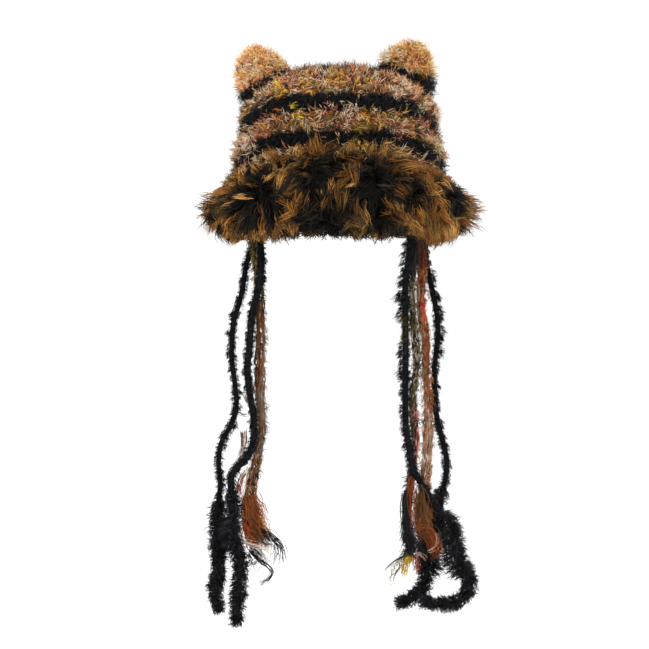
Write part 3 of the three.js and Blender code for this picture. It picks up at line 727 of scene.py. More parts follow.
fur_finish = yarn_finish("fur", roughness=0.5, shine=0.12, sheen=0, fuzz=0.0008)
back_dice = np.random.default_rng(60)
back_turns = (np.arange(BACK_PATCHES) + back_dice.uniform(0, 0.7, BACK_PATCHES)) / BACK_PATCHES * np.pi
back_turns += np.pi / 2
back_middles = crown_point(BRIM_TOP + back_dice.uniform(*BACK_DOWN, BACK_PATCHES), back_turns, 0.015)
for part, seed in (("front", 61), ("back", 62)):
    dice = np.random.default_rng(seed)
    roots, facing, spots = roots_on(backing, FUR_TUFTS, dice)
    station = spots[:, 1] * stations
    wanted = (facing * (roots * [1, 1, 0])).sum(axis=1) > -0.35 * np.hypot(roots[:, 0], roots[:, 1])
    wanted &= (station > BRIM_FOOT) & ((roots[:, 1] < 0) == (part == "front"))
    roots, facing, station = roots[wanted], facing[wanted], station[wanted]
    if part == "front":
        middles = np.array([(x, z) for x, z, _ in PATCHES])
        radii = np.array([radius for _, _, radius in PATCHES])
        apart = roots[:, None, [0, 2]] - middles
    else:
        middles = back_middles
        radii = back_dice.uniform(*BACK_RADII, BACK_PATCHES)
        apart = roots[:, None] - middles
    far = np.linalg.norm(apart, axis=-1) / radii
    nearest = far.argmin(axis=1)
    far = far.min(axis=1)
    away = apart[np.arange(len(roots)), nearest]
    if part == "front":
        away = np.insert(away, 1, 0, axis=1)
    away = unit(away)
    chance = dice.random(len(roots))
    tan = chance > np.interp(far, [0.8, 1.2, 2.0], [0.97, 0.55, 0.36])
    brown = chance < np.interp(far, [0.8, 1.6], [0.1, 0.3])
    # The tan fur is darker towards the middle of the brim, near x = 15 mm.
    middle = np.interp(np.abs(roots[:, 0] - 0.015), [0.03, 0.085], [0.6, 1.0])
    dye = picked(BLACK_FUR, len(roots), dice)
    dye[brown] = picked(BROWN_FUR, brown.sum(), dice)
    dye[tan] = (picked(TAN_FUR, len(roots), dice) * middle[:, None])[tan]
    side = side_share(np.arctan2(roots[:, 0], -roots[:, 1] * 0.85))
    high = side * np.interp(station, BRIM_WAIST, [0, 1])
    low = side - high
    side = side - 0.8 * high
    hang = np.array([0, 0, -1]) * (1.1 - 0.55 * side)[:, None]
    parted = PARTING * np.exp(-(far**2) / 3)[:, None]
    lean = 0.75 * facing + hang + parted * away + FUR_SCATTER * dice.normal(size=roots.shape)
    rising = np.interp(roots[:, 0], *np.transpose(RISING))
    upper = (station > BRIM_SHOULDER) & (dice.random(len(roots)) < rising)
    lean[upper] += [0, 0, RISING_UP]
    tall = upper & (np.abs(roots[:, 0] + 0.026) < 0.03) & (chance > 0.4)
    dye[tall] = picked(TAN_FUR, tall.sum(), dice) * 0.8
    lean[:, 2] = np.minimum(lean[:, 2], np.where(side > 0.3, 0.1, 9))  # no hair at the sides points up
    lean[:, 2] = np.minimum(lean[:, 2], np.where(station < HEM_STATION, -0.6, 9))
    length = FUR_LENGTH * dice.uniform(0.6, 1.15, (len(roots), 1)) * np.where(tan, 1, 0.8)[:, None]
    length[upper] *= np.where(roots[upper, 0] < 0, 1.0, 0.75)[:, None]
    length *= (1 + 0.2 * low - 0.55 * high)[:, None]  # at the sides it stands out only below the waist
    length[facing[:, 2] < -0.5] *= 0.5  # it is short underneath
    tips = roots + unit(lean) * length
    hem = np.interp(tips[:, 0], *np.transpose(HEM)) if part == "front" else np.full(len(roots), BACK_HEM)
    hem += 0.001 * dice.normal(size=len(roots))
    tips[:, 2] = np.maximum(tips[:, 2], hem)
    fray = np.where(tan, *FUR_FRAY)[:, None, None]
    facing[:, 2] = np.maximum(facing[:, 2], -0.2)
    paths = hair_paths(roots, unit(facing), tips, dice, FUR_HAIRS, FUR_WIDTH, fray, stations=4)
    girth = FUR_GIRTH * dice.uniform(*GIRTH_SPREAD, len(paths))
    fur = strands(f"brim_fur_{part}", paths, girth, varied(dye, FUR_HAIRS, dice), fur_finish, 0.3, 1.3)
    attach(fur, "root")

# The black ties are crocheted cords of black eyelash yarn, knotted through the rim. Each ends in a thick
# fluffy stretch of the same yarn. A cord's fringes are rows of long lashes down one side of it, from one
# height to another, and a tuft's shags are longer fluff.
ROUTE_STEP = 0.004
FRINGE_COLUMNS = ("top", "bottom", "side", "length")
CORD_TIES = {
    "tie_left_cord_outer": {
        "diameter": 0.005, "tuft": 0.71, "swells": (0.5, 0.9, 1.05, 0.8, 1.08, 0.35),
        "fringes": [(-0.205, -0.262, -1, 0.0052), (-0.300, -0.345, 1, 0.005)],
        "shags": [(-0.402, -0.432, 1, 0.007)],
        "wisps": [
            ("#77777a", 5, 0.0008, [(-0.0856, -0.3446), (-0.0911, -0.350), (-0.0966, -0.3594)]),
            ("#141416", 8, 0.0008, [(-0.0975, -0.3686), (-0.0929, -0.376), (-0.090, -0.3842)]),
            ("#141416", 8, 0.0008, [(-0.090, -0.374), (-0.0966, -0.3814), (-0.1004, -0.3888)]),
            ("#141416", 8, 0.0009, [(-0.090, -0.387), (-0.0965, -0.3916), (-0.1013, -0.398)]),
            ("#1b1b1d", 6, 0.0007, [(-0.0968, -0.2857), (-0.0893, -0.2894), (-0.0828, -0.3005)]),
            ("#1b1b1d", 6, 0.0010, [(-0.0958, -0.303), (-0.0900, -0.309), (-0.0835, -0.3105)]),
        ],
        "route": [
            (-0.0795, -0.011, -0.1433), (-0.0803, -0.012, -0.157), (-0.085, -0.014, -0.172),
            (-0.0883, -0.016, -0.193), (-0.0915, -0.018, -0.207), (-0.0966, -0.020, -0.224),
            (-0.0984, -0.022, -0.247), (-0.098, -0.023, -0.262), (-0.0952, -0.024, -0.283),
            (-0.0942, -0.024, -0.303), (-0.099, -0.024, -0.319), (-0.107, -0.025, -0.333),
            (-0.1104, -0.026, -0.352), (-0.1088, -0.027, -0.373), (-0.111, -0.028, -0.394),
            (-0.112, -0.029, -0.410), (-0.1106, -0.030, -0.432), (-0.1104, -0.031, -0.454),
            (-0.113, -0.032, -0.470), (-0.1095, -0.033, -0.490),
        ],
    },
    "tie_left_cord_inner": {
        "diameter": 0.006, "tuft": 0.67, "swells": (0.5, 0.95, 1.0, 0.9, 1.0, 0.85),
        "fringes": [(-0.150, -0.190, 1, 0.0048), (-0.220, -0.290, -1, 0.0045)],
        "shags": [(-0.404, -0.428, -1, 0.007)],
        "route": [
            (-0.0725, -0.041, -0.1427), (-0.0716, -0.042, -0.156), (-0.071, -0.043, -0.176),
            (-0.074, -0.044, -0.196), (-0.0796, -0.045, -0.217), (-0.0812, -0.046, -0.240),
            (-0.0835, -0.046, -0.267), (-0.0815, -0.046, -0.290), (-0.078, -0.046, -0.312),
            (-0.078, -0.046, -0.330), (-0.082, -0.046, -0.345), (-0.092, -0.046, -0.356),
            (-0.0986, -0.046, -0.366), (-0.0975, -0.046, -0.388), (-0.0978, -0.046, -0.410),
            (-0.095, -0.046, -0.428), (-0.090, -0.046, -0.443), (-0.091, -0.046, -0.460),
            (-0.0926, -0.046, -0.480), (-0.0945, -0.045, -0.500),
        ],
    },
    "tie_right_cord_inner": {
        "diameter": 0.006, "tuft": 0.68, "swells": (0.55, 0.95, 1.0, 0.9, 1.0, 0.85),
        "fringes": [
            (-0.150, -0.222, -1, 0.0105), (-0.240, -0.278, -1, 0.0095), (-0.285, -0.350, -1, 0.006),
        ],
        "shags": [(-0.400, -0.452, -1, 0.015), (-0.395, -0.450, 1, 0.003)],
        "route": [
            (0.065, -0.0565, -0.142), (0.0646, -0.057, -0.156), (0.0625, -0.058, -0.172),
            (0.0602, -0.058, -0.195), (0.0604, -0.058, -0.220), (0.0606, -0.057, -0.245),
            (0.0604, -0.056, -0.270), (0.0604, -0.055, -0.295), (0.0608, -0.054, -0.318),
            (0.064, -0.053, -0.340), (0.0675, -0.052, -0.358), (0.077, -0.051, -0.375),
            (0.090, -0.049, -0.395), (0.101, -0.047, -0.407), (0.106, -0.046, -0.424),
            (0.1065, -0.044, -0.438), (0.114, -0.043, -0.449), (0.1196, -0.042, -0.462),
            (0.1165, -0.042, -0.474), (0.106, -0.042, -0.481), (0.094, -0.042, -0.4825),
            (0.084, -0.042, -0.4815), (0.077, -0.042, -0.480),
        ],
    },
    "tie_right_cord_outer": {
        "diameter": 0.005, "tuft": 0.66, "swells": (0.55, 0.95, 1.05, 0.95, 1.0, 0.8),
        "fringes": [
            (-0.175, -0.262, 1, 0.0078), (-0.262, -0.330, 1, 0.0045), (-0.290, -0.365, -1, 0.004),
        ],
        "shags": [(-0.405, -0.455, 1, 0.011), (-0.425, -0.455, -1, 0.004)],
        "route": [
            (0.079, -0.0195, -0.1432), (0.0792, -0.020, -0.158), (0.0815, -0.021, -0.178),
            (0.086, -0.022, -0.198), (0.090, -0.023, -0.220), (0.0904, -0.024, -0.242),
            (0.0874, -0.025, -0.266), (0.0878, -0.026, -0.290), (0.090, -0.026, -0.314),
            (0.0956, -0.026, -0.336), (0.0988, -0.026, -0.354), (0.0965, -0.025, -0.373),
            (0.0905, -0.024, -0.390), (0.082, -0.024, -0.408), (0.0792, -0.024, -0.426),
            (0.0818, -0.024, -0.442), (0.080, -0.025, -0.458), (0.076, -0.026, -0.470),
            (0.067, -0.027, -0.479), (0.0536, -0.028, -0.482),
        ],
    },
}
CORD_TUFTS = 800
CORD_HAIRS = 5
LASH_GIRTH = 0.00036
LASH_WIDTH = 0.0009
SPIKE_SHARE = 0.07  # of the tufts that stand out as pointed lashes
LASH_LENGTHS = (0.0052, 0.0031)  # of pointed lashes and of the others
LASH_FRAYS = (0.0004, 0.0009)
FRINGE_FRAY = 0.0007
SCALLOP = 0.017  # the fringes are longer and shorter by turns
TUFT_TUFTS = 700
TUFT_HAIRS = 6
TUFT_RADIUS = 0.0084
FLUFF_GIRTH = 0.00048
FLUFF_WIDTH = 0.0016
FLUFF_FRAY = 0.0023
TUFT_PLACES = (0, 0.12, 0.3, 0.55, 0.8, 1)
CORD_DYES = ("#080809", "#1c1b1f")
SOFT_BLACK = ("#1b1b1d", "#242427", "#151517", "#2e2e31", "#101012")
OLIVE = ("#4a3f22", "#3a3018", "#57492a", "#1c180e")
CURL_STATIONS = 12
WISP_Y = -0.035
WISP_GIRTH = 0.0003
OLIVE_STRETCH = {"name": "tie_right_cord_inner", "top": -0.216, "bottom": -0.243}


def smooth_route(points, step=ROUTE_STEP):
    """Points every step along a smooth line through the given ones, and its length."""
    p = np.array(points)
    p = np.vstack([2 * p[0] - p[1], p, 2 * p[-1] - p[-2]])
    gap = np.sqrt(np.linalg.norm(np.diff(p, axis=0), axis=1))[:, None]
    pace = np.diff(p, axis=0) / gap
    heading = pace[:-1] + pace[1:] - (p[2:] - p[:-2]) / (gap[:-1] + gap[1:])
    start, end = p[1:-2], p[2:-1]
    leave, arrive = heading[:-1] * gap[1:-1], heading[1:] * gap[1:-1]
    t = np.linspace(0, 1, 16, endpoint=False)[:, None, None]
    bend = leave + arrive - 2 * (end - start)
    fine = start + t * (leave + t * (end - start - leave - bend + t * bend))
    fine = np.vstack([fine.transpose(1, 0, 2).reshape(-1, 3), p[-2]])
    reach = np.insert(np.cumsum(np.linalg.norm(np.diff(fine, axis=0), axis=1)), 0, 0)
    spots = np.linspace(0, reach[-1], max(2, round(reach[-1] / step) + 1))
    return np.stack([np.interp(spots, reach, fine[:, k]) for k in range(3)], axis=1), reach[-1]


def round_line(line, along, turn):
    """Points on a line at shares of its length, the way ahead there, and the way out at a turn round it."""
    spots = np.asarray(along) * (len(line) - 1)
    steps = np.arange(len(line))
    at = np.stack([np.interp(spots, steps, line[:, k]) for k in range(3)], axis=-1)
    heading = np.gradient(line, axis=0)
    ahead = unit(np.stack([np.interp(spots, steps, heading[:, k]) for k in range(3)], axis=-1))
    side = unit(np.cross([0, 1, 0], ahead))
    out = np.cos(turn)[..., None] * side + np.sin(turn)[..., None] * np.cross(ahead, side)
    return at, ahead, out


def cord_finish(name):
    """Matt black crochet, with the colour and the relief of its fibres from one noise."""
    material, shader = new_material(name, 0.9, 0.05)
    fibres = noise_in(material, 700)
    ramp = material.node_tree.nodes.new("ShaderNodeValToRGB")
    wire(ramp, {"Fac": fibres})
    for stop, code in zip(ramp.color_ramp.elements, CORD_DYES):
        stop.color = (*dye_of(code)[0], 1)
    normal = node_in(material, "ShaderNodeBump", {"Distance": 0.0006, "Height": fibres}, "Normal")
    wire(shader, {"Base Color": ramp.outputs["Color"], "Normal": normal})
    return material


def curls(name, rows, y, girth, material, dice):
    """Loose strands that lie in curls, as one mesh. Each row has a colour, how many strands there are, how
    far apart they lie, and where they go in x and z."""
    paths, dyes = [], []
    for code, count, apart, places in rows:
        line, _ = smooth_route([(x, y, z) for x, z in places], 0.001)
        middle, _, _ = round_line(line, np.linspace(0, 1, CURL_STATIONS), np.zeros(CURL_STATIONS))
        swing = np.cumsum(dice.normal(size=(count, CURL_STATIONS, 3)), axis=1) * 0.4
        paths.append(middle + apart * (dice.normal(size=(count, 1, 3)) + swing))
        dyes.append(varied(np.repeat(dye_of(code), count, axis=0), 1, dice))
    paths = np.concatenate(paths)
    girths = girth * dice.uniform(0.6, 1.3, len(paths))
    return strands(name, paths, girths, np.concatenate(dyes), material, 0.9, 1.1)


black_cord_yarn = cord_finish("black_cord_yarn")
black_pile_yarn = yarn_finish("black_pile_yarn", roughness=0.7, shine=0.05, sheen=0, fuzz=0.0006)
for seed, (name, tie) in enumerate(CORD_TIES.items(), start=81):
    dice = np.random.default_rng(seed)
    line, length = smooth_route(tie["route"])
    radius = tie["diameter"] / 2
    curve = bpy.data.curves.new(f"{name}_core", "CURVE")
    curve.dimensions = "3D"
    curve.bevel_depth = radius
    curve.bevel_resolution = 2
    curve.use_fill_caps = True
    spline = curve.splines.new("POLY")
    spline.points.add(len(line) - 1)
    spline.points.foreach_set("co", np.insert(line, 3, 1, axis=1).ravel())
    core = placed(curve.name, curve)
    curve.materials.append(black_cord_yarn)
    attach(core, "root")
    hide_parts(name)

    share = dice.uniform(0.01, tie["tuft"], CORD_TUFTS)
    at, ahead, out = round_line(line, share, dice.uniform(0, 2 * np.pi, CORD_TUFTS))
    roots = at + out * radius * 0.8
    spike = dice.random(CORD_TUFTS) < SPIKE_SHARE
    reach = np.where(spike, *LASH_LENGTHS) * dice.uniform(0.7, 1.3, CORD_TUFTS)
    fray = np.where(spike, *LASH_FRAYS)
    lean = out + np.where(spike, 0.7, 0.9)[:, None] * ahead + 0.4 * dice.normal(size=out.shape)
    fringes = columns_of(FRINGE_COLUMNS, tie["fringes"])
    for top, bottom, side, long in zip(*fringes.values()):
        row = (at[:, 2] < top) & (at[:, 2] > bottom) & (out[:, 0] * side > -0.5)
        lean[row] = [side, 0, -0.6] + 0.22 * dice.normal(size=(row.sum(), 3))
        scallops = 0.85 + 0.25 * np.sin(2 * np.pi * at[row, 2] / SCALLOP)
        reach[row] = long * scallops * dice.uniform(0.6, 1.15, row.sum())
        fray[row] = FRINGE_FRAY
    dye = picked(SOFT_BLACK, CORD_TUFTS, dice)
    if name == OLIVE_STRETCH["name"]:
        olive = (at[:, 2] < OLIVE_STRETCH["top"]) & (at[:, 2] > OLIVE_STRETCH["bottom"])
        dye[olive] = picked(OLIVE, olive.sum(), dice)
    tips = roots + unit(lean) * reach[:, None]
    paths = hair_paths(roots, out, tips, dice, CORD_HAIRS, LASH_WIDTH, fray[:, None, None])
    girth = LASH_GIRTH * dice.uniform(*GIRTH_SPREAD, len(paths))
    lash_dye = varied(dye, CORD_HAIRS, dice)
    lashes = strands(f"{name}_lashes", paths, girth, lash_dye, black_pile_yarn, 0.7, 1.2)

    tuft_name = name.replace("cord", "tuft")
    place = dice.uniform(0, 1, TUFT_TUFTS)
    share = tie["tuft"] + (1 - tie["tuft"]) * place
    at, ahead, out = round_line(line, share, dice.uniform(0, 2 * np.pi, TUFT_TUFTS))
    roots = at + out * radius * 0.7
    swell = np.interp(place, TUFT_PLACES, tie["swells"])
    reach = (TUFT_RADIUS - radius) * 1.15 * swell * dice.uniform(0.8, 1.25, TUFT_TUFTS)
    forwards = np.interp(place, [0.88, 1], [0.45, 1.2])[:, None]
    lean = out + forwards * ahead + 0.3 * dice.normal(size=out.shape)
    shags = columns_of(FRINGE_COLUMNS, tie["shags"])
    for top, bottom, side, longer in zip(*shags.values()):
        row = (at[:, 2] < top) & (at[:, 2] > bottom) & (out[:, 0] * side > -0.2)
        reach[row] += longer * dice.uniform(0.3, 1, row.sum())
        lean[row] += [0.9 * side, 0, -0.3]
    tips = roots + unit(lean) * reach[:, None]
    paths = hair_paths(roots, out, tips, dice, TUFT_HAIRS, FLUFF_WIDTH, FLUFF_FRAY)
    girth = FLUFF_GIRTH * dice.uniform(*GIRTH_SPREAD, len(paths))
    fluff_dye = varied(picked(SOFT_BLACK, TUFT_TUFTS, dice), TUFT_HAIRS, dice)
    fluff = strands(f"{tuft_name}_fluff", paths, girth, fluff_dye, black_pile_yarn, 0.5, 1.5)
    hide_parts(tuft_name)
    loose = [lashes, fluff]
    if "wisps" in tie:
        loose.append(curls(f"{name}_wisps", tie["wisps"], WISP_Y, WISP_GIRTH, black_pile_yarn, dice))
    for piece in loose:
        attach(piece, "root")

# The coloured ties are loose bundles of a dozen thin yarns, left uncut from the knitting and knotted through
# the rim beside the cords. They fray as they go down, and their ends fall open into matted tassels. stretches
# are where a side of a bundle has other colours, mat is a tassel's thick roving and ends are its thin yarns.
YARN_TIES = {
    "tie_left_yarns": {
        "diameter": 0.008, "tassel": 0.9, "slot": "orange_yarn",
        "yarns": ("#743a1a", "#84481f", "#5c3a20", "#8e5428", "#3c2818", "#241a14", "#9a6238"),
        "stretches": [
            (-0.140, -0.205, 0, ("#5c4c20", "#6b5a28", "#3a3018", "#7a6834")),
            (-0.225, -0.285, 1, ("#7c6248", "#8c7050", "#8a5630", "#6a5040", "#5c4434")),
            (-0.285, -0.345, 1, ("#7c6858", "#8c7868", "#665444", "#948474", "#6e5844")),
            (-0.285, -0.345, -1, ("#746050", "#84705e", "#5c4636", "#8a4a28")),
            (-0.345, -0.380, 0, ("#8a6a44", "#b08c64", "#4a3a28", "#1a1614", "#8c4c28")),
        ],
        "mat": {
            "start": 0.88, "length": 0.033, "lean": 0.30, "fan": 0.42, "count": 105,
            "dye": ("#90461c", "#a05424", "#743a18", "#5e3c1e", "#a8602c", "#b44c34", "#6a4420"),
        },
        "ends": {
            "start": 0.97, "length": 0.034, "lean": 0.75, "fan": 0.35, "count": 8,
            "dye": ("#0f0e0d", "#1c1a18", "#3a3028", "#1a1816", "#0c0b0a"),
        },
        "curl_y": -0.040,
        "curls": [
            ("#e4d2bc", 7, 0.0012, [
                (-0.090, -0.4235), (-0.0810, -0.427), (-0.0708, -0.4302), (-0.058, -0.4376),
            ]),
            ("#c8b8a4", 6, 0.0016, [
                (-0.0815, -0.429), (-0.0745, -0.4375), (-0.066, -0.443), (-0.0605, -0.440),
            ]),
            ("#131214", 14, 0.0016, [
                (-0.073, -0.414), (-0.0616, -0.4201), (-0.0534, -0.4302), (-0.0506, -0.444),
            ]),
            ("#1a191b", 14, 0.0018, [
                (-0.070, -0.421), (-0.0610, -0.426), (-0.0575, -0.435), (-0.0605, -0.445),
            ]),
            ("#161517", 10, 0.0016, [
                (-0.080, -0.431), (-0.0725, -0.436), (-0.0690, -0.445), (-0.0760, -0.443),
            ]),
            ("#c4502c", 12, 0.0018, [(-0.0885, -0.4085), (-0.085, -0.416), (-0.0775, -0.4225)]),
            ("#b8742c", 12, 0.0018, [(-0.074, -0.402), (-0.0695, -0.411), (-0.0655, -0.421)]),
            ("#121113", 14, 0.0009, [
                (-0.0819, -0.433), (-0.0764, -0.4403), (-0.0699, -0.4458), (-0.0635, -0.4504),
                (-0.0612, -0.456), (-0.0653, -0.4605), (-0.0708, -0.4642), (-0.0745, -0.466),
            ]),
            ("#161517", 8, 0.0014, [
                (-0.0835, -0.436), (-0.0785, -0.446), (-0.0735, -0.441), (-0.0665, -0.4475),
            ]),
            ("#6b5a3c", 6, 0.0007, [(-0.0897, -0.3244), (-0.0883, -0.3382), (-0.0911, -0.3474)]),
            ("#8a6a44", 6, 0.0008, [
                (-0.0846, -0.3225), (-0.0856, -0.3336), (-0.0883, -0.3446), (-0.0948, -0.3575),
            ]),
            ("#8a4420", 14, 0.0014, [
                (-0.0856, -0.3594), (-0.0902, -0.3704), (-0.092, -0.3814), (-0.0883, -0.3888),
            ]),
        ],
        "route": [
            (-0.0765, -0.026, -0.1432), (-0.076, -0.027, -0.158), (-0.075, -0.029, -0.176),
            (-0.0735, -0.031, -0.196), (-0.072, -0.032, -0.220), (-0.0712, -0.033, -0.240),
            (-0.0725, -0.034, -0.268), (-0.0725, -0.034, -0.293), (-0.0708, -0.034, -0.318),
            (-0.0735, -0.034, -0.338), (-0.077, -0.034, -0.356), (-0.081, -0.034, -0.378),
            (-0.0825, -0.034, -0.394), (-0.0805, -0.034, -0.410),
        ],
    },
    "tie_right_yarns_orange": {
        "diameter": 0.008, "tassel": 0.88, "slot": "orange_yarn",
        "yarns": ("#9c5226", "#86401f", "#a8622e", "#8c4a28", "#6c4424", "#b07a4c", "#5a3420"),
        "stretches": [
            (-0.140, -0.175, 0, ("#8a3a26", "#6e3420", "#9c4a30", "#4a2a1c")),
            (-0.208, -0.224, 0, ("#b8402c", "#c44a38", "#a8562c")),
            (-0.190, -0.300, -1, ("#a87c50", "#8c4a24", "#c4a684", "#7a4422")),
            (-0.300, -0.372, 0, ("#8c6a4c", "#b4937a", "#a0603c", "#6c4a34", "#c0a890")),
        ],
        "mat": {
            "start": 0.86, "length": 0.023, "lean": 0.0, "fan": 0.45, "count": 80,
            "dye": ("#7e421e", "#683620", "#905226", "#6c4020", "#584024", "#4a3a20"),
        },
        "ends": {
            "start": 0.97, "length": 0.020, "lean": 0.2, "fan": 0.35, "count": 12,
            "dye": ("#a85a1c", "#b4682a", "#7a4a24", "#1a1614"),
        },
        "curl_y": -0.054,
        "curls": [
            ("#7a3a1a", 20, 0.0019, [
                (0.0665, -0.3665), (0.0650, -0.3842), (0.0660, -0.3998), (0.0690, -0.410),
            ]),
            ("#5a3c1c", 20, 0.0022, [(0.0727, -0.3759), (0.0745, -0.3915), (0.0773, -0.4092)]),
            ("#a04426", 10, 0.0013, [(0.0640, -0.3935), (0.0672, -0.4035)]),
            ("#944c1a", 22, 0.0017, [
                (0.069, -0.4136), (0.0745, -0.410), (0.0819, -0.4127), (0.0874, -0.421), (0.090, -0.4302),
                (0.0865, -0.4366),
            ]),
            ("#7a3e18", 18, 0.0019, [
                (0.0715, -0.418), (0.0785, -0.416), (0.084, -0.4228), (0.0865, -0.431), (0.084, -0.437),
            ]),
            ("#dcb49c", 6, 0.0008, [
                (0.0818, -0.4335), (0.087, -0.431), (0.0915, -0.4237), (0.0895, -0.4165),
            ]),
        ],
        "route": [
            (0.075, -0.032, -0.143), (0.075, -0.033, -0.160), (0.0756, -0.034, -0.185),
            (0.0752, -0.035, -0.210), (0.0778, -0.036, -0.235), (0.079, -0.037, -0.262),
            (0.0804, -0.037, -0.292), (0.0812, -0.037, -0.318), (0.0804, -0.037, -0.340),
            (0.0792, -0.038, -0.362), (0.0775, -0.042, -0.380), (0.077, -0.046, -0.398),
            (0.078, -0.050, -0.412),
        ],
    },
    "tie_right_yarns_mottled": {
        "diameter": 0.006, "tassel": 0.92, "slot": "mottled_yarn",
        "yarns": ("#b8ac94", "#0e0d10", "#6a5628", "#121014", "#8c7e68", "#141216", "#4a4022", "#5a4a30"),
        "stretches": [
            (-0.140, -0.180, 0, ("#1a1612", "#0e0d10", "#3a3020", "#241c14")),
            (-0.300, -0.362, 1, ("#a03c2c", "#c88a80", "#0e0d10", "#8c6a58")),
            (-0.362, -0.412, -1, ("#0c0b0d", "#121014", "#0e0d10")),
            (-0.362, -0.412, 0.3, ("#8c4420", "#a05024", "#6e3a1c", "#5a3c20")),
            (-0.412, -0.450, 0, ("#0c0b0d", "#1a1614", "#121014")),
        ],
        "mat": {
            "start": 0.90, "length": 0.014, "lean": -0.20, "fan": 0.5, "count": 44,
            "dye": ("#141216", "#1a1614", "#0e0d10", "#241c14"),
        },
        "ends": {
            "start": 0.97, "length": 0.022, "lean": -0.9, "fan": 0.5, "count": 6,
            "dye": ("#57534c", "#1c1a18", "#8a8474", "#3a3630", "#b0a890"),
        },
        "curl_y": -0.057,
        "curls": [
            ("#111113", 34, 0.0014, [
                (0.0598, -0.3768), (0.0594, -0.3934), (0.0612, -0.409), (0.0668, -0.4219), (0.0741, -0.432),
                (0.0815, -0.4403),
            ]),
            ("#c49490", 8, 0.0009, [(0.0708, -0.4339), (0.0745, -0.4357), (0.079, -0.4403)]),
            ("#2c2a26", 4, 0.0006, [
                (0.0662, -0.4348), (0.0534, -0.4403), (0.0451, -0.4468), (0.0405, -0.4523),
            ]),
            ("#77715f", 4, 0.0008, [(0.0644, -0.4366), (0.0525, -0.444), (0.0451, -0.4495)]),
            ("#c8c0ac", 8, 0.0020, [(0.0598, -0.4394), (0.0497, -0.4514), (0.0451, -0.4624)]),
            ("#57534c", 6, 0.0022, [(0.0618, -0.4394), (0.0527, -0.4504), (0.0491, -0.4614)]),
            ("#b8922a", 26, 0.0014, [(0.0648, -0.4376), (0.0612, -0.4458), (0.0594, -0.456)]),
            ("#7a3428", 16, 0.0013, [(0.0672, -0.4366), (0.0702, -0.444), (0.0695, -0.4524)]),
        ],
        "route": [
            (0.070, -0.0455, -0.1423), (0.0686, -0.046, -0.160), (0.0674, -0.046, -0.185),
            (0.0666, -0.046, -0.212), (0.0688, -0.046, -0.235), (0.0706, -0.046, -0.262),
            (0.068, -0.046, -0.288), (0.0684, -0.045, -0.314), (0.0690, -0.044, -0.340),
            (0.0655, -0.045, -0.366), (0.0625, -0.047, -0.390), (0.0625, -0.050, -0.412),
            (0.0655, -0.052, -0.434),
        ],
    },
}
YARNS = 16
YARN_STEP = 0.003
YARN_GIRTH = 0.00072
YARN_TWIST = 22  # radians for each metre
CRIMP = 0.0005  # how far the yarns' small waves go
OPENING = ((0, 0.06, 0.5, 0.9), (0.4, 0.8, 0.95, 1.35))  # how wide a bundle is at shares of its length
WIDEST = 1.15
FIBRES = 1100
FIBRE_HAIRS = 3
FIBRE_LENGTHS = (0.003, 0.008)
FIBRE_GIRTH = 0.00036
TASSEL_HAIRS = 6
TASSEL_GIRTH = 0.0004
TASSEL_FRAYS = {"mat": 0.0026, "ends": 0.0012}


def bundle_dye(tie, at, out, dice):
    """The yarn's colour at points of a bundle, by their height and by the side of it that they are on."""
    dye = picked(tie["yarns"], len(at), dice)
    for top, bottom, side, codes in tie["stretches"]:
        here = (at[:, 2] < top) & (at[:, 2] > bottom) & (out[:, 0] * side >= 0)
        dye[here] = picked(codes, here.sum(), dice)
    return dye


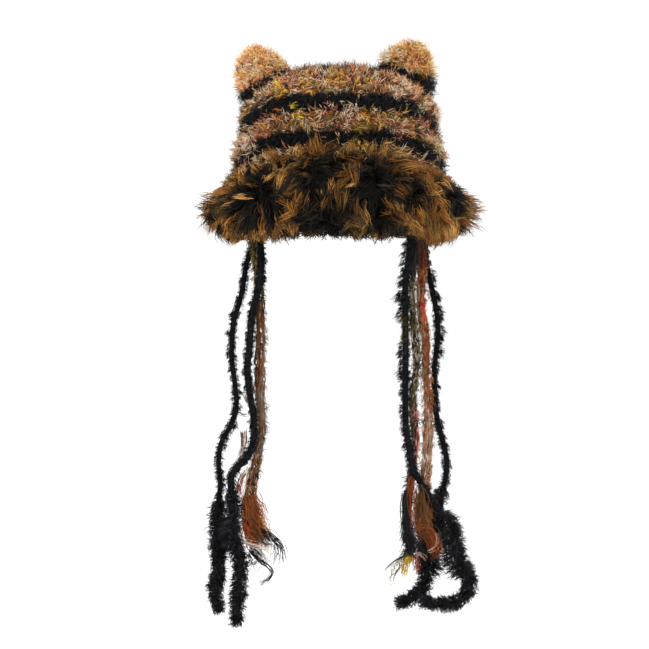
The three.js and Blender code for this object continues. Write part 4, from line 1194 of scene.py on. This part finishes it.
for seed, (name, tie) in enumerate(YARN_TIES.items(), start=101):
    dice = np.random.default_rng(seed)
    line, length = smooth_route(tie["route"], YARN_STEP)
    share = np.linspace(0, 1, len(line))
    turn = dice.uniform(0, 2 * np.pi, (YARNS, 1))
    turn = turn + dice.uniform(0.4, 1.2, (YARNS, 1)) * YARN_TWIST * length * share
    waves = dice.uniform(2, 5, (YARNS, 1)) * share + dice.random((YARNS, 1))
    loose = dice.uniform(0.35, 0.95, (YARNS, 1)) * (1 + 0.35 * np.sin(2 * np.pi * waves))
    loose *= np.interp(share, *OPENING)
    loose = np.minimum(loose, WIDEST)
    at, _, out = round_line(line, np.tile(share, (YARNS, 1)), turn)
    paths = at + out * (tie["diameter"] / 2) * loose[..., None]
    paths = paths + CRIMP * dice.normal(size=paths.shape)
    dye = bundle_dye(tie, at.reshape(-1, 3), out.reshape(-1, 3), dice).reshape(paths.shape)
    dye = dye[:, np.arange(len(share)) // 2 * 2]  # each colour lasts for two stations
    girth = YARN_GIRTH * dice.uniform(0.6, 1.4, YARNS)
    bundle = strands(f"{name}_bundle", paths, girth, dye, pile_yarn, 1.0, 1.0, sides=4, full=True)
    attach(bundle, "root")
    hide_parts(name)

    fibre_at, ahead, out = round_line(line, dice.random(FIBRES), dice.uniform(0, 2 * np.pi, FIBRES))
    roots = fibre_at + out * tie["diameter"] * dice.uniform(0.05, 0.45, (FIBRES, 1))
    lean = 0.5 * out + ahead + 0.6 * dice.normal(size=out.shape)
    tips = roots + unit(lean) * dice.uniform(*FIBRE_LENGTHS, (FIBRES, 1))
    fuzz_paths = hair_paths(roots, out, tips, dice, FIBRE_HAIRS, 0.001, 0.0016)
    fuzz_dye = varied(bundle_dye(tie, fibre_at, out, dice), FIBRE_HAIRS, dice, 0.4)
    fuzz_girth = FIBRE_GIRTH * dice.uniform(0.6, 1.3, len(fuzz_paths))
    fuzz = strands(f"{name}_fuzz", fuzz_paths, fuzz_girth, fuzz_dye, pile_yarn, 0.8, 1.1)

    hangs, dyes = [], []
    for kind, fray in TASSEL_FRAYS.items():
        made = tie[kind]
        count = made["count"]
        start = dice.uniform(made["start"], 1, count)
        at, ahead, out = round_line(line, start, dice.uniform(0, 2 * np.pi, count))
        roots = at + out * tie["diameter"] * 0.3
        sideways = made["lean"] + made["fan"] * dice.uniform(-1, 1, count)
        heading = np.stack([sideways, 0.2 * dice.normal(size=count), -np.ones(count)], axis=1)
        tips = roots + unit(heading) * made["length"] * dice.uniform(0.6, 1, (count, 1))
        leave = unit(ahead + 0.6 * out)
        hang = hair_paths(roots, leave, tips, dice, TASSEL_HAIRS, 0.0016, fray, stations=5)
        hangs.append(hang + 0.0009 * dice.normal(size=hang.shape))
        dyes.append(varied(picked(made["dye"], count, dice), TASSEL_HAIRS, dice))
    ends_name = name.replace("yarns", "tassel")
    paths = np.concatenate(hangs)
    girth = TASSEL_GIRTH * dice.uniform(0.6, 1.3, len(paths))
    ends = strands(f"{ends_name}_ends", paths, girth, np.concatenate(dyes), pile_yarn, 0.75, 1.15)
    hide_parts(ends_name)
    curled = curls(f"{name}_curls", tie["curls"], tie["curl_y"], TASSEL_GIRTH, pile_yarn, dice)
    for piece in (fuzz, ends, curled):
        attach(piece, "root")

# A plain pale studio: a wide white floor just below the ends of the ties, soft light from all round, and
# three large soft lamps. The camera stands far in front, level with the rim, and looks down a little.
FLOOR_Z = -0.514
FLOOR_SIZE = 14
PIXEL = 0.00092  # of the hat's front, for each of the picture's 649 pixels
FRAME_WIDTH = 649 * PIXEL
DISTANCE = 6
EYE_LEVEL = -0.1432
MIDDLE = (-0.0133, -0.2273)  # x and z at the middle of the picture
WORLD_LIGHT = 1.08

bm = bmesh.new()
bmesh.ops.create_grid(bm, x_segments=1, y_segments=1, size=FLOOR_SIZE / 2)
bmesh.ops.translate(bm, verts=bm.verts, vec=(0, 0, FLOOR_Z))
floor = finish(bm, "floor")
paper, paper_shader = new_material("white_paper", 0.9, 0)
wire(paper_shader, {"Base Color": (0.95, 0.95, 0.95, 1)})
floor.data.materials.append(paper)

world = bpy.data.worlds.new("studio")
world.use_nodes = True
wire(world.node_tree.nodes["Background"], {"Color": (1, 1, 1, 1), "Strength": WORLD_LIGHT})
bpy.context.scene.world = world
LAMPS_AIM = (0, 0, -0.12)
LAMPS = {
    "key": {"place": (-0.9, -1.6, 1.2), "size": 1.0, "power": 22},
    "fill": {"place": (1.5, -1.2, 0.5), "size": 1.5, "power": 10},
    "top": {"place": (0.1, 0.6, 1.5), "size": 1.0, "power": 12},
}
for name, lamp in LAMPS.items():
    light = bpy.data.lights.new(name, "AREA")
    light.size = lamp["size"]
    light.energy = lamp["power"]
    holder = placed(name, light)
    holder.location = lamp["place"]
    towards = np.array(LAMPS_AIM) - lamp["place"]
    turned = math.atan2(towards[1], towards[0])
    tilt = math.atan2(np.hypot(*towards[:2]), -towards[2])
    holder.rotation_euler = (tilt, 0, turned - math.pi / 2)

camera = bpy.data.cameras.new("camera")
camera.sensor_width = 36
camera.lens = camera.sensor_width * DISTANCE / FRAME_WIDTH
viewer = placed("camera", camera)
viewer.location = (MIDDLE[0], -DISTANCE, EYE_LEVEL)
viewer.rotation_euler = (math.pi / 2 + math.atan2(MIDDLE[1] - EYE_LEVEL, DISTANCE), 0, 0)
bpy.context.scene.camera = viewer
bpy.context.scene.view_settings.view_transform = "Standard"
